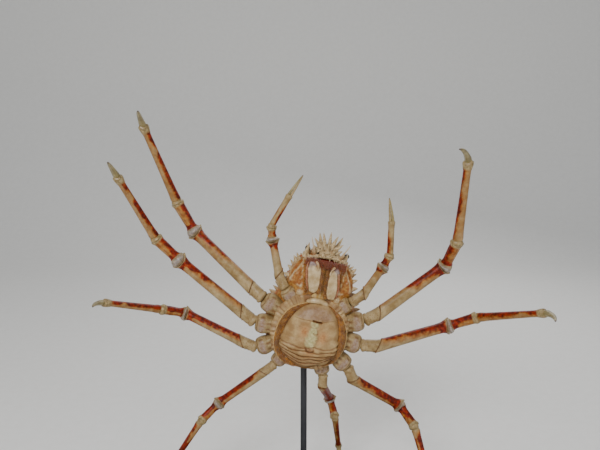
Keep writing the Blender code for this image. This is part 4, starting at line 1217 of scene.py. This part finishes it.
# Golden bristles fringe the apron, on a bed whose section is (share of its width, metres back)
fringe = {
    "columns": 160, "away": -0.0255, "swell": 0.0046, "bristles": 7600, "length": (0.006, 0.013), "seed": 11,
    "radius": 0.00028,
    "profile": [(-0.25, 0.014), (-0.15, 0.004), (0.0, 0.0), (0.2, 0.0), (0.45, 0.0), (0.7, 0.0),
                (0.86, 0.0), (0.91, -0.0006), (0.96, -0.003), (1.03, -0.0028), (1.07, 0.001), (1.06, 0.007),
                (1.0, 0.012)],
}


def fringePlace(turn, share):
    # share 0 is the apron's edge and 1 the bed's outer edge
    width = outlineAt("fringe", turn)
    reach = outlineAt("apron", turn) - 0.001 + (width + 0.001) * share
    swell = fringe["swell"] * math.sin(math.pi * min(1.0, max(0.0, share))) ** 0.7 * min(1.0, width / 0.01)
    return Vector((reach * math.cos(turn), fringe["away"] - swell, reach * math.sin(turn) + 0.001))


def fringeCell(turn, spot):
    share, back = spot
    # the bed's outer rim is painted pale, a painted highlight along its edge
    return (bodyPoint(fringePlace(turn, share) + Vector((0, back, 0))),
            {"pale": 1.0 if share > 0.93 and back < 0.004 else 0.0})


# each ring is one section of the bed, and the last lies on the first
sections = [*turns(fringe["columns"]), 0.0]
bed = rolledShell("bristle_bed", *plotted(sections, fringe["profile"], fringeCell))
settle(bed, "golden_bristle")
draw = random.Random(fringe["seed"])
copies, unwrap = [], []
while len(copies) < fringe["bristles"]:
    turn, share = 2 * math.pi * draw.random(), draw.random()
    width = outlineAt("fringe", turn)
    if draw.random() > width / 0.016:
        continue
    place = fringePlace(turn, 0.03 + 0.85 * share)
    out = Vector((math.cos(turn), 0, math.sin(turn)))
    tangent = Vector((-out.z, 0, out.x)) * (1 if math.cos(turn) > 0 else -1)
    way = (out * draw.uniform(0.2, 0.9) * (1.05 - share) - tangent * draw.uniform(0.5, 1.3)
           + Vector((0, -1, 0)) * draw.uniform(0.05, 0.3)).normalized()
    length = draw.uniform(*fringe["length"]) * (0.35 + 0.65 * min(1.0, width / 0.014))
    copies.append((standingOn(place, place + way * length, fringe["radius"], draw.uniform(0, 6.28)),
                   {"pale": (0.0, draw.uniform(0.0, 0.6))}))
    unwrap.append((0.02 + 0.95 * turn / (2 * math.pi), 0.02 + 0.2 * share))
settle(arrayed("apron_bristles", bristleForm, copies, 180, unwrap), "golden_bristle")

print("mouthparts, eyes and feelers")
# Outer mouthparts as they stand, in millimetres: (along, middle across, half width, front)
mouthparts = fromMm({
    "left": {  # the crab's left, on the viewer's right
        "plate": [(79, 24.4, 3.4, -24), (83, 23.9, 8, -30), (92, 23.2, 10.3, -32.5),
                  (106, 21.9, 11.2, -34), (120, 20.5, 10.7, -34.5), (131, 19.4, 9.1, -33.5),
                  (138, 18.4, 7.5, -31.5), (142, 17.6, 5, -28)],
        "top": [(133, 22.5, 5, -25), (137, 22.5, 8, -29), (143, 21.5, 8.2, -28.5),
                (149, 20, 6, -25), (152, 19, 2, -20)],
    },
    "right": {
        "plate": [(86, 15.9, 2.8, -24), (90, 14.6, 7.3, -30), (97, 13.9, 10.4, -32.5),
                  (109, 15.7, 12.7, -34), (122, 18.2, 14, -34.5), (134, 20, 14.3, -34),
                  (142, 20.5, 13.4, -32), (145.5, 19.8, 10.4, -28.5)],
        "top": [(139, 25, 5, -25), (142, 25, 8.5, -30), (148, 24, 9, -29),
                (153, 22, 6.6, -25), (156, 20.5, 2, -20)],
    },
    "inner": -15,
})


def mouthPlate(name, stations, side, lilac, groove):
    rows = 4 * (len(stations) - 1)

    def pointAt(row, turn):
        along, middle, half, front = stationAt(stations, row / 4)
        share = row / rows
        depth = (mouthparts["inner"] - front) / 2
        x = half * fullRound(math.cos(turn), 0.55)
        y = mouthparts["inner"] - depth - depth * fullRound(math.sin(turn), 0.55)
        if math.sin(turn) > 0:
            y += groove * hump(0.5 * half, 0.14 * half, x) * ease(0.0, 0.15, share) * ease(1.0, 0.85, share)
            y -= 0.001 * hump(-0.8 * half, 0.16 * half, x) + 0.0008 * uneven(x, share * 0.04, side, 120)
        rough = 0.0011 * uneven(share * 5, math.cos(turn), side * 3)
        ragged = uneven(x * 90, share * 4, side * 7)
        # the plates are red along their edges, the upper ones all over
        red = 0.62 * ease(0.55, 1.0, abs(x) / half) + 0.55 * ease(0.25, 0.0, share)
        red = red * (0.75 + 0.6 * ragged) if not lilac else 0.55 * ease(0.2, 0.9, share) + 0.3 * ragged
        return bodyPoint((middle + x + rough, y, along), side), {
            "lilac": lilac + 0.75 * ease(0.62, 0.95, share) * ease(0.0, 0.8, x / half) * (1 - lilac),
            "redReach": red,
            "brown": 0.45 * ease(0.08, 0.0, share),
        }
    return rolledShell(name, *plotted(range(rows + 1), turns(24), pointAt))


def rod(name, points, radii, sides, marks):
    # a mark has one value for each point
    def pointAt(number, turn):
        way = (points[min(number + 1, len(points) - 1)] - points[max(number - 1, 0)]).normalized()
        side = way.orthogonal().normalized()
        place = points[number] + side * radii[number] * math.cos(turn)
        place += way.cross(side) * radii[number] * math.sin(turn)
        return place, {word: values[number] for word, values in marks.items()}
    return rolledShell(name, *plotted(range(len(points)), turns(sides), pointAt))


# A feeler, in millimetres: place and radius, and how red it is
feeler = {
    "rows": fromMm([
        ((23, -2, 148), 3.8), ((24.5, -6, 154), 4.2), ((26, -8, 160), 3.6), ((26.5, -9, 162), 2.8),
        ((28, -12, 168), 3), ((28.5, -12.5, 170), 2.1), ((31, -15, 176), 2.2), ((31.5, -15.2, 178), 1.4),
        ((35, -16, 185), 1.2), ((40, -16, 198), 0.6)]),
    "red": [0.5, 0.45, 0.4, 0.5, 0.35, 0.4, 0.3, 0.4, 0.3, 0.2],
}
eye = {"root": (0.028, 0.014, 0.15), "centre": (0.041, 0.012, 0.166)}
for sideName, side in (("left", 1), ("right", -1)):
    stations, top = mouthparts[sideName]["plate"], mouthparts[sideName]["top"]
    plate = mouthPlate(f"mouth_plate_{sideName}", stations, side, 0.0, 0.0011)
    cap = mouthPlate(f"mouth_top_{sideName}", top, side, 0.9, 0.0)
    edge = [bodyPoint((m + h + 0.0018, f + 0.005, a), side) for a, m, h, f in stations[1:-1]]
    edge += [bodyPoint((m + h + 0.0022, f + 0.004, a), side) for a, m, h, f in top[1:4]]
    exopod = rod(f"mouth_rod_{sideName}", edge,
                 [0.0009, 0.0017, 0.0019, 0.0018, 0.0017, 0.0016, 0.0015, 0.0013, 0.0008], 12,
                 {"redReach": [0.62] * len(edge)})
    along, across = top[3][:2]
    bend = [bodyPoint((across - inwards, away, along - down), side) for inwards, away, down in
            ((0, -0.027, 0), (0.006, -0.031, 0.004), (0.0085, -0.0335, 0.012), (0.008, -0.0335, 0.019))]
    palp = rod(f"mouth_palp_{sideName}", bend, [0.0034, 0.0032, 0.0026, 0.0012], 12,
               {"redReach": [0.45, 0.4, 0.3, 0.2]})
    settle(joined(f"maxilliped_{sideName}", [plate, cap, exopod, palp]),
           "porcelain_mouth_shell", [f"maxilliped_{sideName}"])

    # the eye: a short stalk, a round eye with a flattened cornea
    root, centre = bodyPoint(eye["root"], side), bodyPoint(eye["centre"], side)
    way = (centre - root).normalized()
    spots = [root, *(root.lerp(centre, share) for share in (0.35, 0.62, 0.74)), centre - way * 0.0028, centre,
             *(centre + way * past for past in (0.0028, 0.0046, 0.0054))]
    ball = rod(f"eye_{sideName}", spots,
               [0.003, 0.0036, 0.0034, 0.004, 0.005, 0.0056, 0.0048, 0.0028, 0.0006], 18,
               {"stalk": [1, 1, 1, 0.6, 0, 0, 0, 0, 0]})
    settle(ball, "glossy_eye", [f"eye_{sideName}"])
    antenna = rod(f"antenna_{sideName}", [bodyPoint(place, side) for place, _ in feeler["rows"]],
                  [radius for _, radius in feeler["rows"]], 10, {"redReach": feeler["red"]})
    settle(antenna, "porcelain_mouth_shell", [f"antenna_{sideName}"])

# Brown-gold hair fills the mouth between and below the plates, fringes their
# inner edges, and hangs in a rusty band over their tops
mouthHair = {
    "floor": 2400, "edges": 700, "band": 1500, "seed": 23, "length": (0.005, 0.011), "radius": 0.00027,
}
draw = random.Random(mouthHair["seed"])
copies, unwrap = [], []
for number in range(mouthHair["floor"] + 2 * mouthHair["edges"] + mouthHair["band"]):
    u, v = draw.random(), draw.random()
    length = draw.uniform(*mouthHair["length"])
    red = 0.0
    if number < mouthHair["floor"]:
        across = (-0.04 + 0.08 * u) * (0.75 + 0.25 * v)
        low = 0.079 + 0.017 * hump(0, 0.018, across)
        place = Vector((across, -0.0215 + 0.004 * draw.random(), low + (0.149 - low) * v))
        way = Vector((draw.uniform(-0.5, 0.5) - place.x * 6, -0.5 - 0.5 * draw.random(),
                      draw.uniform(-0.3, 1.0)))
        unwrap.append((0.02 + 0.5 * u, 0.3 + 0.5 * v))
    elif number < mouthHair["floor"] + 2 * mouthHair["edges"]:
        side, sideName = (1, "left") if number % 2 else (-1, "right")
        along, middle, half, front = stationAt(mouthparts[sideName]["plate"], 1 + v * 5.6)
        inner = side * (middle - half * draw.uniform(0.85, 1.02))
        place = Vector((inner, front + draw.uniform(0.001, 0.006), along))
        way = Vector((-side * draw.uniform(0.3, 1.2), -draw.uniform(0.1, 0.5), draw.uniform(-1.0, 0.3)))
        unwrap.append((0.56 + 0.15 * u, 0.3 + 0.5 * v))
    else:
        across = -0.041 + 0.082 * u
        place = Vector((across, -0.0175 - 0.01 * hump(0, 0.034, across), 0.146 + 0.012 * v))
        way = Vector((draw.uniform(-0.5, 0.5), -draw.uniform(0.5, 1.0), -draw.uniform(0.4, 1.3)))
        red = draw.uniform(0.55, 1.0)
        unwrap.append((0.75 + 0.2 * u, 0.3 + 0.2 * v))
    tip = place + way.normalized() * length
    copies.append((standingOn(place, tip, mouthHair["radius"], draw.uniform(0, 6.28)),
                   {"redReach": (red, 0.8 * red), "pale": (0.0, draw.uniform(0.0, 0.5) * (1 - red))}))
settle(arrayed("mouth_hair", bristleForm, copies, 180, unwrap), "golden_bristle")
for form in (spineForm, knobForm, bristleForm):
    bpy.data.objects.remove(form)

print("stand")
# The plate, flange and rod keep their solids' shapes, softened at the edges
stand = {
    "size": (0.72, 0.26, 0.018), "corner": 0.03, "edge": 0.0016,
    "rod": (0.02, 0.046), "rodRadius": 0.007, "rodTop": 0.336, "flange": (0.017, 0.006), "round": 0.0012,
    "columns": 48, "cornerPoints": 12, "sharpest": 35,
}


def plateCell(row, turn):
    # a rectangle with round corners; turn is the corner's number and the turn in it
    height, inset = row
    corner, within = turn
    diagonal = math.pi / 4 + math.pi / 2 * corner
    middle = [math.copysign(size / 2 - stand["corner"], way)
              for size, way in zip(stand["size"], (math.cos(diagonal), math.sin(diagonal)))]
    reach = stand["corner"] - inset
    return Vector((middle[0] + reach * math.cos(within), middle[1] + reach * math.sin(within), height)), {}


def postCell(row, turn):
    height, radius = row
    x, y = stand["rod"]
    return Vector((x + radius * math.cos(turn), y + radius * math.sin(turn), height)), {}


edge, top = stand["edge"], stand["size"][2]
rows = [(0.0, edge), (0.3 * edge, 0.3 * edge), (edge, 0.0), (top - edge, 0.0), (top - 0.3 * edge, 0.3 * edge),
        (top, edge)]
corners = [(corner, math.pi / 2 * (corner + step / (stand["cornerPoints"] - 1)))
           for corner in range(4) for step in range(stand["cornerPoints"])]
plate = rolledShell("stand_plate", *plotted(rows, corners, plateCell), levels=0, angle=stand["sharpest"])
radius, rodTop = stand["rodRadius"], stand["rodTop"]
flange, shoulder = stand["flange"][0], top + stand["flange"][1]
rows = [(top - 0.002, flange), (shoulder - stand["round"], flange), (shoulder, flange - stand["round"]),
        (shoulder, radius + 0.003), (shoulder + 0.001, radius + 0.0008), (shoulder + 0.003, radius),
        (rodTop * 0.6, radius), (rodTop, radius), (rodTop, 0.0004)]
columns = turns(stand["columns"])
post = rolledShell("stand_post", *plotted(rows, columns, postCell), levels=0, angle=stand["sharpest"])
settle(joined("stand_base", [plate, post]), "powder_coated_steel", ["stand_base"])

print("floor, lights and camera")
bpy.ops.object.select_all(action="DESELECT")
bpy.ops.mesh.primitive_plane_add(size=6, location=(0, 0, 0))
floor = bpy.context.object
floor.name = "studio_floor"
bpy.ops.object.mode_set(mode="EDIT")
bpy.ops.mesh.select_all(action="SELECT")
bpy.ops.transform.resize(value=(30, 1, 1), center_override=(0, 0, 0))
bpy.ops.mesh.select_all(action="DESELECT")
bpy.ops.object.mode_set(mode="OBJECT")
for edge in floor.data.edges:
    edge.select = all(floor.data.vertices[v].co.y > 2 for v in edge.vertices)
bpy.ops.object.mode_set(mode="EDIT")
bpy.ops.mesh.select_mode(type="EDGE")
bpy.ops.mesh.extrude_region_move(TRANSFORM_OT_translate={"value": (0, 0, 4)})
bpy.ops.object.mode_set(mode="OBJECT")
curve = floor.modifiers.new("curve", "BEVEL")
curve.width = 1.2
curve.segments = 16
curve.angle_limit = math.radians(30)
bpy.ops.object.modifier_apply(modifier="curve")
bpy.ops.object.shade_smooth()
paper = bpy.data.materials.new("matt_studio_paper")
paper.use_nodes = True
fibre = addNode(paper.node_tree, "ShaderNodeTexNoise", {"Scale": 40.0, "Detail": 4.0},
                {"Vector": addNode(paper.node_tree, "ShaderNodeTexCoord").outputs["Object"]})
shade = addNode(paper.node_tree, "ShaderNodeMix", {6: linear("#E9E7E2"), 7: linear("#F2F0EC")},
                {0: fibre.outputs["Fac"]}, data_type="RGBA")
paper.node_tree.links.new(shade.outputs[2], paper.node_tree.nodes["Principled BSDF"].inputs["Base Color"])
paper.node_tree.nodes["Principled BSDF"].inputs["Roughness"].default_value = 0.9
floor.data.materials.append(paper)

lights = {
    # place, aimed at, size and watts
    "key_softbox": ((-0.7, -1.7, 1.8), (0.0, 0.0, 0.42), 0.8, 37),
    "fill_softbox": ((1.5, -1.3, 0.9), (0.0, 0.0, 0.4), 1.4, 9),
    "back_softbox": ((0.6, 1.6, 1.6), (0.0, 0.0, 0.45), 1.2, 16),
}
for name, (place, aim, size, watts) in lights.items():
    bpy.ops.object.light_add(type="AREA", location=place)
    lamp = bpy.context.object
    lamp.name = name
    lamp.rotation_euler = (Vector(aim) - Vector(place)).to_track_quat("-Z", "Y").to_euler()
    lamp.data.size = size
    lamp.data.energy = watts
world = bpy.data.worlds.new("pale_studio")
world.use_nodes = True
world.node_tree.nodes["Background"].inputs["Color"].default_value = linear("#DDE1E6")
world.node_tree.nodes["Background"].inputs["Strength"].default_value = 0.55
bpy.context.scene.world = world

shot = {"place": (0.012, -1.137, 0.844), "pitch": 78.4, "lens": 35.0, "sensor": 36.0}
bpy.ops.object.camera_add(location=shot["place"], rotation=(math.radians(shot["pitch"]), 0, 0))
camera = bpy.context.object
camera.data.lens = shot["lens"]
camera.data.sensor_width = shot["sensor"]
bpy.context.scene.camera = camera

bpy.context.view_layer.update()
